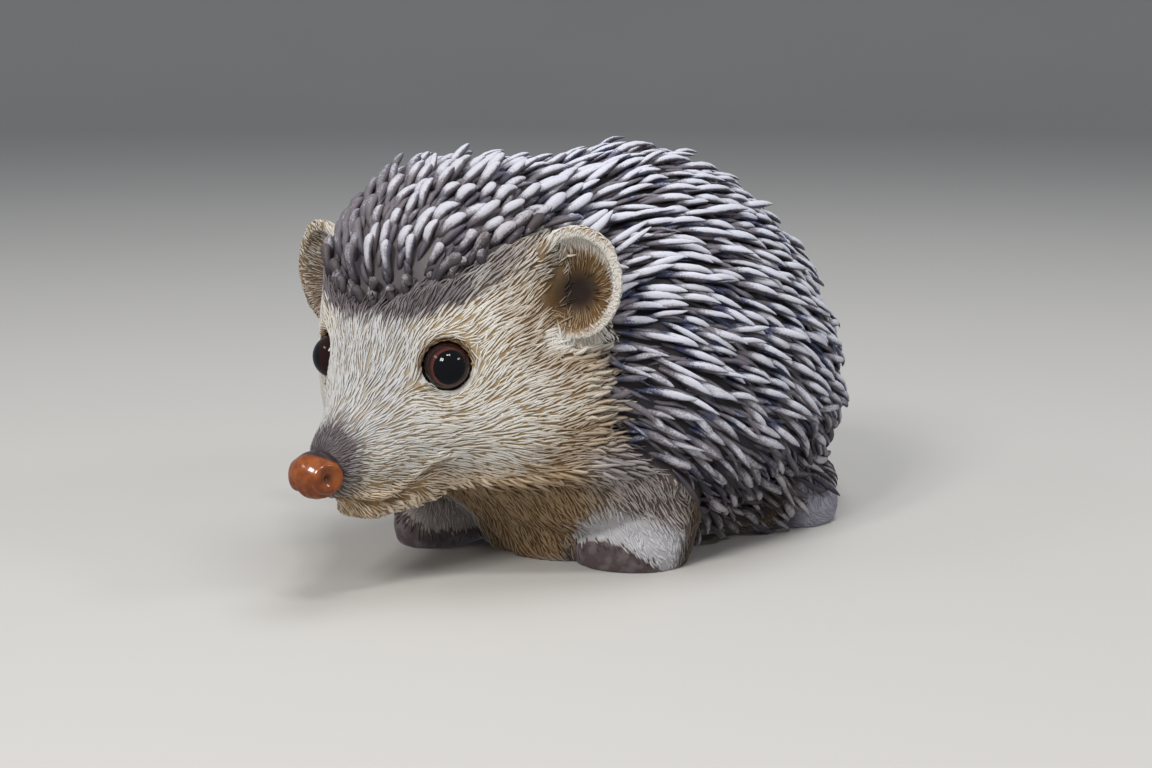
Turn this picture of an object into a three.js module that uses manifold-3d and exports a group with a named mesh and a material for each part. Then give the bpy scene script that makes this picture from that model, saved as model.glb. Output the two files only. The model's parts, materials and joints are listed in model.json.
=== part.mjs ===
// A painted resin hedgehog ornament: one crouching casting with set-in eyes and a varnished nose.
// Millimetres. The animal faces -Y, its left side is +X, +Z is up and it sits on Z = 0.
import * as THREE from "three";
import { mergeVertices } from "three/addons/utils/BufferGeometryUtils.js";
import Module from "manifold-3d";

const wasm = await Module();
wasm.setup();

// ---- Driving dimensions ----------------------------------------------------------------------

const GAP = 0.3; // clearance between neighbouring pieces

// How widely neighbouring forms melt into each other.
const MELT = { head: 8, neck: 10, trunk: 6, leg: 8 };

// The barrel of the trunk. Its half-sizes run from its widest point, at girth height.
const BARREL = {
  halfWidth: 59,
  front: 70,
  rear: 82,
  girthZ: 38,
  above: 82.5,
  below: 44,
  plan: 2.15, // how square its outline is seen from above, where 2 is an ellipse
  rise: 1.8, // and how square its arch is
};
const HAUNCH = { x: 25, y: 32, z: 16, halfWidth: 21, halfLength: 28, halfHeight: 21 };
const CHEST = { x: 0, y: -30, z: 10, halfWidth: 24, halfLength: 20, halfHeight: 24 };

// The head's sizes are in its own frame: x to its left, y backwards, z up.
const NECK = { x: -10, y: -42, turnDeg: 9.8, rollDeg: 2.4 }; // that frame, standing on the floor
const NECK_CUT = { y: -50, z: 60, leanDeg: 27 }; // the plane that parts head from trunk
const CAP = { x: 0, y: -8, z: 82, halfWidth: 37, halfLength: 42, halfHeight: 34.5, squareness: 2.6 };
const FACE = { x: 0, y: 0, z: 58, halfWidth: 49, halfLength: 58, halfHeight: 35, plan: 1.75, rise: 2.4 };
const CHEEK = { x: 20, y: -14, z: 44, halfWidth: 20, halfLength: 26, halfHeight: 20 };
const MUZZLE = { rootY: -36, rootZ: 50, rootRadius: 23, tipY: -67.5, tipZ: 38.5, tipRadius: 10 };
const CHIN = { rootY: -38, rootZ: 36, rootRadius: 13, tipY: -60, tipZ: 29, tipRadius: 7 };
const NOSE = { y: -77.5, z: 37, halfWidth: 7.4, halfLength: 6.8, halfHeight: 6.6, dropDeg: 15 };
const NOSTRIL = { x: 5.2, y: -81.5, z: 36, radius: 1.5 };
const EYE = { x: 20.8, y: -46.5, z: 63, radius: 6.2 };
const EAR = {
  x: 46.5,
  y: -22,
  z: 83.5,
  halfWidth: 13.5,
  halfHeight: 15.5,
  depth: 9,
  wall: 2.6,
  turnDeg: 14,
  leanDeg: 6,
};

// Limbs are in the body's frame; the forepaws differ, because the animal is looking to its left.
const FOREPAW = { z: 5, halfWidth: 13, halfLength: 17, halfHeight: 12 };
const WRIST = { y: 4, z: 9, radius: 11 }; // y runs backwards from the paw's middle
const SHOULDER = { y: 8, z: 19, radius: 14 };
const FOREPAW_LEFT = { x: 30, y: -28, turnDeg: -50 };
const FOREPAW_RIGHT = { x: -29, y: -49, turnDeg: 12 };
const HINDFOOT = { x: 37.5, y: 44, z: 6, halfWidth: 10, halfLength: 13, halfHeight: 13 };
const TAIL = { y: 66, z: 11, length: 14, rootRadius: 6, tipRadius: 2.2, dropDeg: 15 };

const COLOUR = {
  spines: 0x6a5c5c,
  face: 0xd8c8a4,
  paw: 0xa8978c,
  nose: 0xa8481a,
  eye: 0x140c0b,
};

// ---- Fields: how far a point is from a surface, negative inside --------------------------------

const at = (x, y, z) => new THREE.Vector3(x, y, z);
const radians = THREE.MathUtils.degToRad;

// An ellipsoid whose plan and arch may be squarer or leaner than an ellipse.
const roundBody = (centre, radii, plan = 2, rise = 2) => (p) => {
  const q = p.clone().sub(centre);
  const across = Math.abs(q.x / radii.x) ** plan + Math.abs(q.y / radii.y) ** plan;
  const scaled = (across ** (rise / plan) + Math.abs(q.z / radii.z) ** rise) ** (1 / rise);
  return scaled < 1e-6 ? -radii.x : q.length() * (1 - 1 / scaled);
};

const lump = ({ x, y, z, halfWidth, halfLength, halfHeight, plan, rise }) =>
  roundBody(at(x, y, z), at(halfWidth, halfLength, halfHeight), plan, rise);

const taperedRod = (from, to, fromRadius, toRadius) => (p) => {
  const along = to.clone().sub(from);
  const share = THREE.MathUtils.clamp(p.clone().sub(from).dot(along) / along.lengthSq(), 0, 1);
  const radius = THREE.MathUtils.lerp(fromRadius, toRadius, share);
  return p.distanceTo(from.clone().addScaledVector(along, share)) - radius;
};

const melt = (width, ...fields) => (p) =>
  fields.map((field) => field(p)).reduce((a, b) => {
    const near = Math.max(width - Math.abs(a - b), 0) / width;
    return Math.min(a, b) - (near * near * width) / 4;
  });

const inFrame = (matrix, field) => {
  const inverse = matrix.clone().invert();
  return (p) => field(p.clone().applyMatrix4(inverse));
};

const bothSides = (field) => (p) => field(at(Math.abs(p.x), p.y, p.z));

// ---- The flesh, before it is parted ------------------------------------------------------------

const turned = (x, y, turnDeg) =>
  new THREE.Matrix4().makeTranslation(x, y, 0).multiply(new THREE.Matrix4().makeRotationZ(radians(turnDeg)));

const headFrame = turned(NECK.x, NECK.y, NECK.turnDeg).multiply(
  new THREE.Matrix4().makeRotationY(radians(-NECK.rollDeg)),
);
const inHead = (x, y, z) => at(x, y, z).applyMatrix4(headFrame);

const barrelField = (p) => {
  const length = p.y > 0 ? BARREL.rear : BARREL.front;
  const height = p.z > BARREL.girthZ ? BARREL.above : BARREL.below;
  const radii = at(BARREL.halfWidth, length, height);
  return roundBody(at(0, 0, BARREL.girthZ), radii, BARREL.plan, BARREL.rise)(p);
};
const trunkField = melt(MELT.trunk, barrelField, lump(CHEST), bothSides(lump(HAUNCH)));

const capField = lump({ ...CAP, plan: CAP.squareness, rise: CAP.squareness });
const rodField = ({ rootY, rootZ, rootRadius, tipY, tipZ, tipRadius }) =>
  taperedRod(at(0, rootY, rootZ), at(0, tipY, tipZ), rootRadius, tipRadius);
const headField = inFrame(
  headFrame,
  melt(MELT.head, capField, lump(FACE), bothSides(lump(CHEEK)), rodField(MUZZLE), rodField(CHIN)),
);

const flesh = melt(MELT.neck, trunkField, headField);

// ---- Solids ------------------------------------------------------------------------------------

// How far along a ray from inside a field its surface lies.
function reach(field, origin, direction) {
  const STRIDE = 2;
  const HALVINGS = 18;
  let inside = 0;
  while (field(origin.clone().addScaledVector(direction, inside + STRIDE)) < 0) inside += STRIDE;
  let outside = inside + STRIDE;
  for (let i = 0; i < HALVINGS; i++) {
    const middle = (inside + outside) / 2;
    if (field(origin.clone().addScaledVector(direction, middle)) < 0) inside = middle;
    else outside = middle;
  }
  return outside;
}

// Closed surface through rings of points, with one point at each end.
function ringedGeometry(start, rings, end) {
  const sides = rings[0].length;
  const points = [start, ...rings.flat(), end];
  const last = points.length - 1;
  const index = [];
  for (let k = 0; k < sides; k++) {
    const next = (k + 1) % sides;
    index.push(0, 1 + next, 1 + k);
    index.push(last, last - sides + k, last - sides + next);
    for (let ring = 0; ring < rings.length - 1; ring++) {
      const a = 1 + ring * sides + k;
      const b = 1 + ring * sides + next;
      index.push(a, b, a + sides, b, b + sides, a + sides);
    }
  }
  return new THREE.BufferGeometry().setFromPoints(points).setIndex(index);
}

// Skin of a field: rays fan out from both ends of an axis curve and stand square to it between them.
function skinAlong(curve, field, { tailRings, midRings, noseRings, sides }) {
  const stations = [];
  for (let i = 1; i < tailRings; i++) stations.push([0, -90 + (90 * i) / tailRings]);
  for (let i = 0; i <= midRings; i++) stations.push([i / midRings, 0]);
  for (let i = 1; i < noseRings; i++) stations.push([1, (90 * i) / noseRings]);
  const cast = (share, tiltDeg, aroundDeg) => {
    const origin = curve.getPointAt(share);
    const ahead = curve.getTangentAt(share);
    const side = at(0, 0, 1).cross(ahead).normalize();
    const up = ahead.clone().cross(side);
    const direction = side.multiplyScalar(Math.cos(radians(aroundDeg)));
    direction.addScaledVector(up, Math.sin(radians(aroundDeg)));
    direction.multiplyScalar(Math.cos(radians(tiltDeg)));
    direction.addScaledVector(ahead, Math.sin(radians(tiltDeg)));
    return origin.addScaledVector(direction, reach(field, origin, direction));
  };
  const rings = stations.map(([share, tilt]) =>
    Array.from({ length: sides }, (_, k) => cast(share, tilt, (360 * k) / sides)),
  );
  return ringedGeometry(cast(0, -90, 0), rings, cast(1, 90, 0));
}

// Skin of a field that can be seen whole from one inner point.
function skinAround(centre, field, { halfRings, sides }) {
  const short = at(0, 0.01, 0);
  const curve = new THREE.LineCurve3(centre.clone().add(short), centre.clone().sub(short));
  return skinAlong(curve, field, { tailRings: halfRings, midRings: 1, noseRings: halfRings, sides });
}

function solidFrom(geometry) {
  const bare = geometry.clone();
  bare.deleteAttribute("normal");
  bare.deleteAttribute("uv");
  const merged = mergeVertices(bare, 1e-4);
  return new wasm.Manifold(
    new wasm.Mesh({
      numProp: 3,
      vertProperties: new Float32Array(merged.attributes.position.array),
      triVerts: new Uint32Array(merged.index.array),
    }),
  );
}

// A block that stands in for everything behind a plane, which its one face lies on.
function halfSpace(point, normal) {
  const BLOCK = 400;
  const box = new THREE.BoxGeometry(BLOCK, BLOCK, BLOCK);
  const turn = new THREE.Quaternion().setFromUnitVectors(at(0, 0, 1), normal);
  box.translate(0, 0, -BLOCK / 2).applyQuaternion(turn).translate(point.x, point.y, point.z);
  return solidFrom(box);
}

const ABOVE_FLOOR = halfSpace(at(0, 0, 0), at(0, 0, -1));

const ball = (centre, radius, across = 16, down = 12) =>
  solidFrom(new THREE.SphereGeometry(radius, across, down).translate(centre.x, centre.y, centre.z));

// ---- Trunk and head ----------------------------------------------------------------------------

// A line inside the flesh from the rump, up through the neck and out along the muzzle.
const CORE = new THREE.CatmullRomCurve3([
  at(0, 28, 46),
  at(0, 0, 54),
  inHead(0, 0, 62),
  inHead(0, -40, 52),
  inHead(0, -63.5, 38.5),
]);
const FLESH_RINGS = { tailRings: 12, midRings: 30, noseRings: 4, sides: 40 };

const wholeFlesh = solidFrom(skinAlong(CORE, flesh, FLESH_RINGS)).intersect(ABOVE_FLOOR);
const fleshWithGap = solidFrom(skinAlong(CORE, (p) => flesh(p) - GAP, FLESH_RINGS));

// The neck plane leans back at the top, behind the crown, and runs forward to the throat.
const neckPoint = at(0, NECK_CUT.y, NECK_CUT.z);
const neckAhead = at(0, -1, 0).applyAxisAngle(at(1, 0, 0), radians(-NECK_CUT.leanDeg));
const neckBehind = neckPoint.clone().addScaledVector(neckAhead, -GAP);
const trunk = wholeFlesh.intersect(halfSpace(neckBehind, neckAhead));
const headWhole = wholeFlesh.intersect(halfSpace(neckPoint, neckAhead.clone().negate()));

// ---- Nose --------------------------------------------------------------------------------------

const noseFrame = headFrame
  .clone()
  .multiply(new THREE.Matrix4().makeTranslation(0, NOSE.y, NOSE.z))
  .multiply(new THREE.Matrix4().makeRotationX(radians(NOSE.dropDeg)));

function noseBall(grow) {
  const shape = new THREE.SphereGeometry(1, 16, 12);
  shape.scale(NOSE.halfWidth + grow, NOSE.halfLength + grow, NOSE.halfHeight + grow);
  return solidFrom(shape.applyMatrix4(noseFrame));
}

const nostril = (side) => ball(inHead(side * NOSTRIL.x, NOSTRIL.y, NOSTRIL.z), NOSTRIL.radius, 8, 6);
const nose = noseBall(0).subtract(nostril(1)).subtract(nostril(-1));

// ---- Ears: cupped leaves set into the head -----------------------------------------------------

const earFrame = (side) =>
  headFrame
    .clone()
    .multiply(new THREE.Matrix4().makeTranslation(side * EAR.x, EAR.y, EAR.z))
    .multiply(new THREE.Matrix4().makeRotationZ(radians(side * EAR.turnDeg)))
    .multiply(new THREE.Matrix4().makeRotationY(radians(side * EAR.leanDeg)));

// Points of a bowl's side from its bottom, on the axis, out to its rim.
function bowlSide(radius, depth) {
  const STEPS = 7;
  return Array.from({ length: STEPS + 1 }, (_, i) => {
    const bend = (Math.PI / 2) * (i / STEPS);
    return new THREE.Vector2(radius * Math.sin(bend), depth * Math.cos(bend));
  });
}

// A bowl turned about Y that opens towards -Y, stretched to the ear's height.
function earCup(side) {
  const outer = bowlSide(EAR.halfWidth, EAR.depth);
  const inner = bowlSide(EAR.halfWidth - EAR.wall, EAR.depth - EAR.wall);
  const bowl = new THREE.LatheGeometry([...inner, ...outer.reverse()], 20);
  bowl.scale(1, 1, EAR.halfHeight / EAR.halfWidth);
  return solidFrom(bowl.applyMatrix4(earFrame(side))).subtract(fleshWithGap);
}

// ---- Legs and tail: what shows of them outside the flesh ---------------------------------------

const showing = (geometry) => solidFrom(geometry).intersect(ABOVE_FLOOR).subtract(fleshWithGap);

const forelegField = melt(
  MELT.leg,
  taperedRod(at(0, SHOULDER.y, SHOULDER.z), at(0, WRIST.y, WRIST.z), SHOULDER.radius, WRIST.radius),
  lump({ x: 0, y: 0, ...FOREPAW }),
);

function foreleg({ x, y, turnDeg }) {
  const frame = turned(x, y, turnDeg);
  const wrist = at(0, WRIST.y, WRIST.z).applyMatrix4(frame);
  return showing(skinAround(wrist, inFrame(frame, forelegField), { halfRings: 6, sides: 18 }));
}

function hindfoot(side) {
  const middle = { ...HINDFOOT, x: side * HINDFOOT.x };
  const centre = at(middle.x, middle.y, middle.z);
  return showing(skinAround(centre, lump(middle), { halfRings: 5, sides: 14 }));
}

function tailCone() {
  const root = at(0, TAIL.y, TAIL.z);
  const tip = at(0, TAIL.y + TAIL.length, TAIL.z - TAIL.length * Math.sin(radians(TAIL.dropDeg)));
  const field = taperedRod(root, tip, TAIL.rootRadius, TAIL.tipRadius);
  const rings = { tailRings: 2, midRings: 3, noseRings: 3, sides: 12 };
  return showing(skinAlong(new THREE.LineCurve3(root, tip), field, rings));
}

// ---- Scene graph -------------------------------------------------------------------------------

const materials = {
  spines: new THREE.MeshStandardMaterial({ color: COLOUR.spines, roughness: 0.6, metalness: 0 }),
  face: new THREE.MeshStandardMaterial({ color: COLOUR.face, roughness: 0.65, metalness: 0 }),
  paw: new THREE.MeshStandardMaterial({ color: COLOUR.paw, roughness: 0.55, metalness: 0 }),
  nose: new THREE.MeshStandardMaterial({ color: COLOUR.nose, roughness: 0.12, metalness: 0 }),
  eye: new THREE.MeshStandardMaterial({ color: COLOUR.eye, roughness: 0.04, metalness: 0 }),
};

const animal = new THREE.Group();
const body = new THREE.Group();
const head = new THREE.Group();
body.add(head);
animal.add(body);
head.position.copy(inHead(0, 0, 0));

// Adds a solid, given in the body's frame, to a group as a named mesh with its origin at a pivot.
function addPart(group, name, solid, pivot, material) {
  const { numProp, vertProperties, triVerts } = solid.getMesh();
  const points = [];
  for (let i = 0; i < vertProperties.length; i += numProp) {
    points.push(at(...vertProperties.subarray(i, i + 3)).sub(pivot));
  }
  const geometry = new THREE.BufferGeometry().setFromPoints(points).setIndex(Array.from(triVerts));
  const mesh = new THREE.Mesh(geometry, material);
  mesh.name = name;
  mesh.position.copy(pivot).sub(group.position);
  group.add(mesh);
}

const SIDES = [
  { word: "left", side: 1, forepaw: FOREPAW_LEFT },
  { word: "right", side: -1, forepaw: FOREPAW_RIGHT },
];

let headSolid = headWhole.subtract(noseBall(GAP));
for (const { word, side, forepaw } of SIDES) {
  const eye = inHead(side * EYE.x, EYE.y, EYE.z);
  const ear = inHead(side * EAR.x, EAR.y, EAR.z);
  headSolid = headSolid.subtract(ball(eye, EYE.radius + GAP));
  addPart(head, `eye_${word}`, ball(eye, EYE.radius), eye, materials.eye);
  addPart(head, `ear_${word}`, earCup(side), ear, materials.face);
  addPart(body, `foreleg_${word}`, foreleg(forepaw), at(forepaw.x, forepaw.y, 0), materials.paw);
  addPart(body, `hindfoot_${word}`, hindfoot(side), at(side * HINDFOOT.x, HINDFOOT.y, 0), materials.paw);
}
addPart(head, "head", headSolid, inHead(0, 0, 0), materials.face);
addPart(head, "nose", nose, inHead(0, NOSE.y, NOSE.z), materials.nose);
addPart(body, "trunk", trunk, at(0, 0, 0), materials.spines);
addPart(body, "tail", tailCone(), at(0, TAIL.y, TAIL.z), materials.spines);

// The part's origin is under the middle of its outline, on the floor.
const extent = new THREE.Box3().setFromObject(animal);
const middle = extent.getCenter(at(0, 0, 0));
body.position.set(-middle.x, -middle.y, 0);

export default animal;
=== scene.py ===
"""A painted resin hedgehog ornament.

One skin carries a coat of cast spines and carved fur, with set-in glass eyes and a varnished nose.
"""

import json
import math

import bmesh
import bpy
import numpy as np
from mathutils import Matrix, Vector
from mathutils.bvhtree import BVHTree

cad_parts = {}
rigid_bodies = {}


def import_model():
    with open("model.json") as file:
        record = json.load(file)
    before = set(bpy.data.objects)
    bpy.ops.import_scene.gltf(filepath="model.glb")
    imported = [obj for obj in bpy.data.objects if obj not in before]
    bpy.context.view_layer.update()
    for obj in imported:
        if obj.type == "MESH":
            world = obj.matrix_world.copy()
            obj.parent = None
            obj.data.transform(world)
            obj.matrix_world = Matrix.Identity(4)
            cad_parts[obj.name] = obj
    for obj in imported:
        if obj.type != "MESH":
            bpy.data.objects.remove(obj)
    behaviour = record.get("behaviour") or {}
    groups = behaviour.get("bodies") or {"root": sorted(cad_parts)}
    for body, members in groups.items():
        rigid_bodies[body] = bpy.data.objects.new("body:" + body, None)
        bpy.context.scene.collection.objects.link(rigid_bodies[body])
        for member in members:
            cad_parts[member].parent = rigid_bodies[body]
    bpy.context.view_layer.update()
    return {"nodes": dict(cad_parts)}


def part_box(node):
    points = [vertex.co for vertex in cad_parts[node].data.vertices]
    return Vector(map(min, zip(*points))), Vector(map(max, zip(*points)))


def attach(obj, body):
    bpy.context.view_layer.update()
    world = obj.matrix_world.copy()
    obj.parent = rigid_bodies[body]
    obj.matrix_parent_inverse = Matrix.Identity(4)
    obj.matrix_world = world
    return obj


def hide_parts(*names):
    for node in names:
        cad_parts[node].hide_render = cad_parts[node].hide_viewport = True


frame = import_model()

MM = 0.001
PAIRED = ("ear", "foreleg", "hindfoot")
FLESH = ["trunk", "head", "tail"] + [f"{part}_{side}" for part in PAIRED for side in ("left", "right")]

# ---- The skin ----
VOXEL = 0.62 * MM  # fineness of the shell that joins the castings
GROW = 0.25 * MM  # closes the clearances between them first
FUR_DEPTH = 0.35  # millimetres from the outline down to the skin, under fur
EAR_DEPTH = 0.55  # on the flaps of the ears
SPINE_DEPTH = 3.9  # under the spines of the back
CROWN_DEPTH = 4.4  # under the standing spines of the crown
MUZZLE_REACH = 14 * MM  # how far behind the nose the muzzle is drawn in

# ---- The coat ----
PAINT_STRAY = 0.9 * MM  # how far from its own place a tuft's paint is read, by chance
PATCH = 0.003  # width of a tuft's patch on the unwrap
FLOOR_GAP = 0.15 * MM  # how far off the floor the coat stays

# ---- The eyes ----
EYE_RADIUS = 6.5 * MM
SET_BACK = {"left": 0.0, "right": 0.8 * MM}  # how far each ball sits back from the middle of its socket
LID_THICKNESS = 0.8 * MM
GAZE_SIDE = 0.78  # how far each eye looks to its own side, against ahead
GAZE_AHEAD = 0.63
GAZE_UP = 0.02

# ---- Landmarks in the head's own frame, in millimetres: side, ahead, up from between the eyes ----
NOSE_TIP = (0, 31, -26)
EAR_HOLLOW = (43.5, -29.5, 17.5)
MOUTH = [
    (1.8, 25, -33.2),
    (5.4, 17.5, -35.2),
    (7.3, 11.7, -35.5),
    (9, 8.5, -34.2),
    (12.1, 6.2, -32),
    (14.1, 4, -29.8),
    (16.2, 2.3, -27.7),
    (17.4, 1, -26.6),
]

# ---- The body, in its own frame, in millimetres ----
MIDLINE = 5  # how far to the left the middle of the chest and back lies
PAW_LEFT = (35, -6.4)
PAW_RIGHT = (-23.9, -27.4)


# ==== Small helpers ====


def unit(vectors):
    """The same directions, one unit long."""
    vectors = np.asarray(vectors, float)
    return vectors / (np.linalg.norm(vectors, axis=-1, keepdims=True) + 1e-12)


def ease(low, high, value):
    """Rises smoothly from 0 at low to 1 at high; the two may be the other way round."""
    share = np.clip((value - low) / (high - low), 0, 1)
    return share * share * (3 - 2 * share)


def hump(centre, width, value):
    """1 at the centre, falling away to nothing over about two widths."""
    return np.exp(-(((value - centre) / width) ** 2))


def middle(node):
    """The middle of a CAD node's box."""
    low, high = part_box(node)
    return np.array((low + high) / 2)


# ==== Where things are ====

EYES = {"left": middle("eye_left"), "right": middle("eye_right")}
BROW = (EYES["left"] + EYES["right"]) / 2
SIDE_AXIS = unit(EYES["left"] - EYES["right"])
UP_AXIS = unit(np.array([0, 0, 1]) - SIDE_AXIS * SIDE_AXIS[2])
AHEAD_AXIS = np.cross(SIDE_AXIS, UP_AXIS)


def from_head(side, ahead, up):
    """A point given in the head's own frame, in millimetres, as a place in the scene."""
    return BROW + (SIDE_AXIS * side + AHEAD_AXIS * ahead + UP_AXIS * up) * MM


CROWN_AIM = unit(-0.62 * AHEAD_AXIS + 0.78 * UP_AXIS)  # the way the spines of the crown point


class Place:
    """Where points are, in millimetres: on the body, and in the head's own frame."""

    def __init__(self, points):
        self.points = np.asarray(points, float)
        self.x, self.y, self.z = (self.points / MM).T
        offset = (self.points - BROW) / MM
        self.side = offset @ SIDE_AXIS
        self.ahead = offset @ AHEAD_AXIS
        self.up = offset @ UP_AXIS
        self.out = np.abs(self.side)

    def brow(self):
        """How far above the first spines, which start low over the brow and climb to the ears."""
        near = np.interp(self.out, [0, 5, 10, 14, 21, 28, 31, 36], [15.5, 16.5, 19, 21, 23, 26, 30, 38])
        far = np.interp(self.out, [0, 5, 10, 14, 21, 28, 31, 36], [15.5, 15.5, 16, 17, 20, 24, 29, 38])
        return self.up - np.where(self.side > 0, near, far) - 0.7 * np.sin(1.1 * self.side)

    def hairline(self):
        """How far above the line where the cream fur starts to darken, below the first spines."""
        return self.up - np.interp(self.out, [0, 10, 18, 28, 34, 40], [12, 12, 13.5, 17, 22.5, 29])

    def ruff(self):
        """How far behind the ruff of the cheeks, which slants back below the jaw."""
        ragged = 0.9 * np.sin(0.62 * self.up + 1.3) + 0.6 * np.sin(1.47 * self.up) * (self.up > -34)
        heights = [-52, -41, -35, -30, -27, -24, -20, -6, 6, 14]
        edge = np.interp(self.up, heights, [-60, -50, -41, -34.5, -31.5, -29.5, -30, -30.5, -32, -33])
        return edge - self.ahead + ragged

    def skirt(self):
        """How far above the lower edge of the spines."""
        edge = np.interp(
            self.y,
            [-30, -26, -22, -16, -10, -4, 2, 8, 13, 42, 50, 72, 110],
            [40.5, 38, 35.5, 32, 29, 25, 20, 13, 8, 5, 15, 18, 16],
        )
        return self.z - edge

    def spines(self):
        """How far inside the field of spines; negative on fur."""
        return np.minimum(np.maximum(self.brow(), self.ruff()), self.skirt())

    def crown(self):
        """1 at the brow, where spines stand up, fading to 0 behind the ears."""
        return ease(-62, -14, self.ahead) * ease(2, 14, self.up)

    def front(self):
        """1 in the first rows of spines over the brow, 0 behind them."""
        return ease(9, 1, self.brow()) * ease(-34, -24, self.ahead)

    def messy(self):
        """1 just behind the cheeks, where the spines are short and lie every way."""
        return ease(15, 2, self.ruff()) * ease(8, -6, self.up)

    def jaw(self):
        """How far below the edge of the jaw; negative on the face."""
        return -38 - 2.2 * ease(-12, -2, self.ahead) + 0.16 * np.maximum(-self.ahead - 8, 0) - self.up

    def face(self):
        """1 on the head's fur, 0 on the chest and legs."""
        return ease(3, -2, self.jaw()) * ease(-48, -41, self.ahead)

    def ear(self):
        """Distance from the hollow of the nearer ear."""
        side, ahead, up = EAR_HOLLOW
        return np.sqrt((self.out - side) ** 2 + (self.ahead - ahead) ** 2 + (self.up - up) ** 2)

    def on_ear(self):
        """1 on the flap of an ear, 0 on the head it grows from."""
        near = ease(19.5, 17, self.ear()) * ease(38.5, 42, self.out)
        return near * ease(1, 4.5, self.up) * ease(-37, -35.5, self.ahead)

    def paw(self, middle):
        """Distance on the floor from the middle of a forepaw."""
        return np.hypot(self.x - middle[0], self.y - middle[1])


def mouth_distance(at):
    """Distance from the line of the mouth, how far above it, and its course, in the head's frame."""
    best = np.full(len(at.side), 1e9)
    above = np.zeros(len(at.side))
    course = np.zeros((len(at.side), 3))
    spot = np.stack([at.out, at.ahead, at.up], 1)
    for start, end in zip(MOUTH, MOUTH[1:]):
        start, end = np.array(start, float), np.array(end, float)
        run = end - start
        share = np.clip((spot - start) @ run / (run @ run), 0, 1)
        gap = spot - (start + share[:, None] * run)
        distance = np.linalg.norm(gap, axis=1)
        closer = distance < best
        best = np.where(closer, distance, best)
        above = np.where(closer, gap[:, 2], above)
        course[closer] = run / np.linalg.norm(run)
    course[:, 0] *= np.sign(at.side)
    return best, above, course


def eye_gap(at):
    """Distance from the nearer eye's centre, in millimetres."""
    gaps = [np.linalg.norm(at.points - EYES[side], axis=1) for side in EYES]
    return np.minimum(*gaps) / MM


def ear_front(at, normals):
    """1 where the skin faces the way an ear opens, 0 on the back of the ear."""
    opening = unit(AHEAD_AXIS + 0.4 * np.sign(at.side)[:, None] * SIDE_AXIS)
    return ease(-0.1, 0.3, (normals * opening).sum(1))


# ==== The painted markings and painted shade, which skin and coat share ====


def temple(at):
    """1 on the side of the head between the eye and the ear."""
    return ease(22, 34, at.out) * ease(-8, 4, at.up) * ease(-2, -14, at.ahead)


def face_marks(at, opening):
    """The ochre wash in the grooves of face and ears, and the tints over it, with painted shade above and
    before each eye and on the far ear.
    """
    face, ear, gap, on_left = at.face(), at.on_ear(), eye_gap(at), at.side > 0
    cheek = 0.62 * ease(-6, -31, at.ahead) * ease(24, 8, at.up)
    jowl = 0.45 * ease(-8, -28, at.ahead) * ease(-12, -26, at.up)
    throat = 0.5 * ease(-24, -37, at.up)
    # painted shade: dark ochre over each eye under its overhanging lid, and in its front corner
    lid = 0.9 * ease(9.2, 7.6, gap) * ease(0, 4, at.up)
    corner_shade = 0.9 * ease(9.6, 7.8, gap) * ease(2.5, 5, at.ahead) * hump(0.3, 3, at.up)
    wash = 0.07 + cheek + jowl + throat + 0.42 * temple(at) + 0.6 * hump(0, 2, mouth_distance(at)[0])
    wash = face * np.clip(wash, 0, 0.84) + (1 - face)
    # painted shade: on the far ear the dark inside of the cup spreads further towards the rim
    inside = ease(np.where(on_left, 14.5, 21), np.where(on_left, 10, 7.5), at.ear()) * opening
    wash = wash * (1 - ear) + ear * (0.02 + 0.9 * inside)
    socket = ease(9.6, 8.4, gap) * ease(2.5, -2.5, at.up)
    return {
        "socket": socket,
        # the cream rim is left off the far ear, as painted shade
        "rim": ear * ease(11, 14, at.ear()) * opening * ease(-45, -35, at.side),
        "gold": face * (1 - ear) * ease(-27, -35, at.up),
        "frost": face * ease(22, 9, at.out) * ease(-26, -16, at.up),
        # the wash also carries the painted shade of lids, eye corners and far ear
        "wash": np.clip(wash * (1 - 0.8 * socket) + lid + corner_shade, 0, 1),
    }


def dusk_marks(at, opening):
    """The dark wash over hairline, muzzle and rump; painted shade over temple, far ear and leg top, deepest
    in the ears' hollows and low behind the legs.
    """
    ear = at.on_ear()
    hairline = ease(-3.2, 3.4, at.hairline()) * ease(-38, -28, at.ahead) * ease(40, 30, at.out)
    hairline = hairline * (1 - 0.4 * ease(22, 32, at.out))
    snout = at.ahead + 0.2 * (at.up + 26) - 2.5 * ease(-24, -16, at.up)
    smudge = 0.75 * ease(16, 25, snout) * ease(-38, -32, at.up)
    bridge = 0.5 * ease(22, 27, at.ahead) * ease(-28, -22, at.up) * ease(10, 5, at.out)
    behind = ease(-3.0, 1, at.ruff()) * ease(-30, -24, at.up) * (1 - ear) * ease(30, 46, at.z)
    rump = ease(62, 84, at.y)
    leg = ease(36, 48, at.x) * ease(-38, -28, at.y) * ease(3, -5, at.y) * ease(44, 36, at.z)
    # painted shade: darker over the temple, over the front of the far ear and over the top of the foreleg
    shaded = 0.252 * temple(at) * (1 - ear) + 0.5 * ear * opening * (at.side < 0)
    shaded = shaded + 0.6 * leg * ease(24, 33, at.z)
    # painted shade: dark brown in the hollow of each ear, and low on the body behind the forelegs
    hollow = ease(8.0, 3.0, at.ear()) * opening * (at.out > 36)
    shade = 0.7 * ease(-6, 1, at.y) * ease(26, 20, at.z) * ease(60, 50, at.y)
    return {
        "leg": leg,
        "dusk_and_shade": np.clip(np.maximum(hairline, smudge + bridge) + 0.5 * behind + 0.45 * rump + shaded, 0, 1),
        "hollow": np.maximum(hollow, shade),
    }


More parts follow.
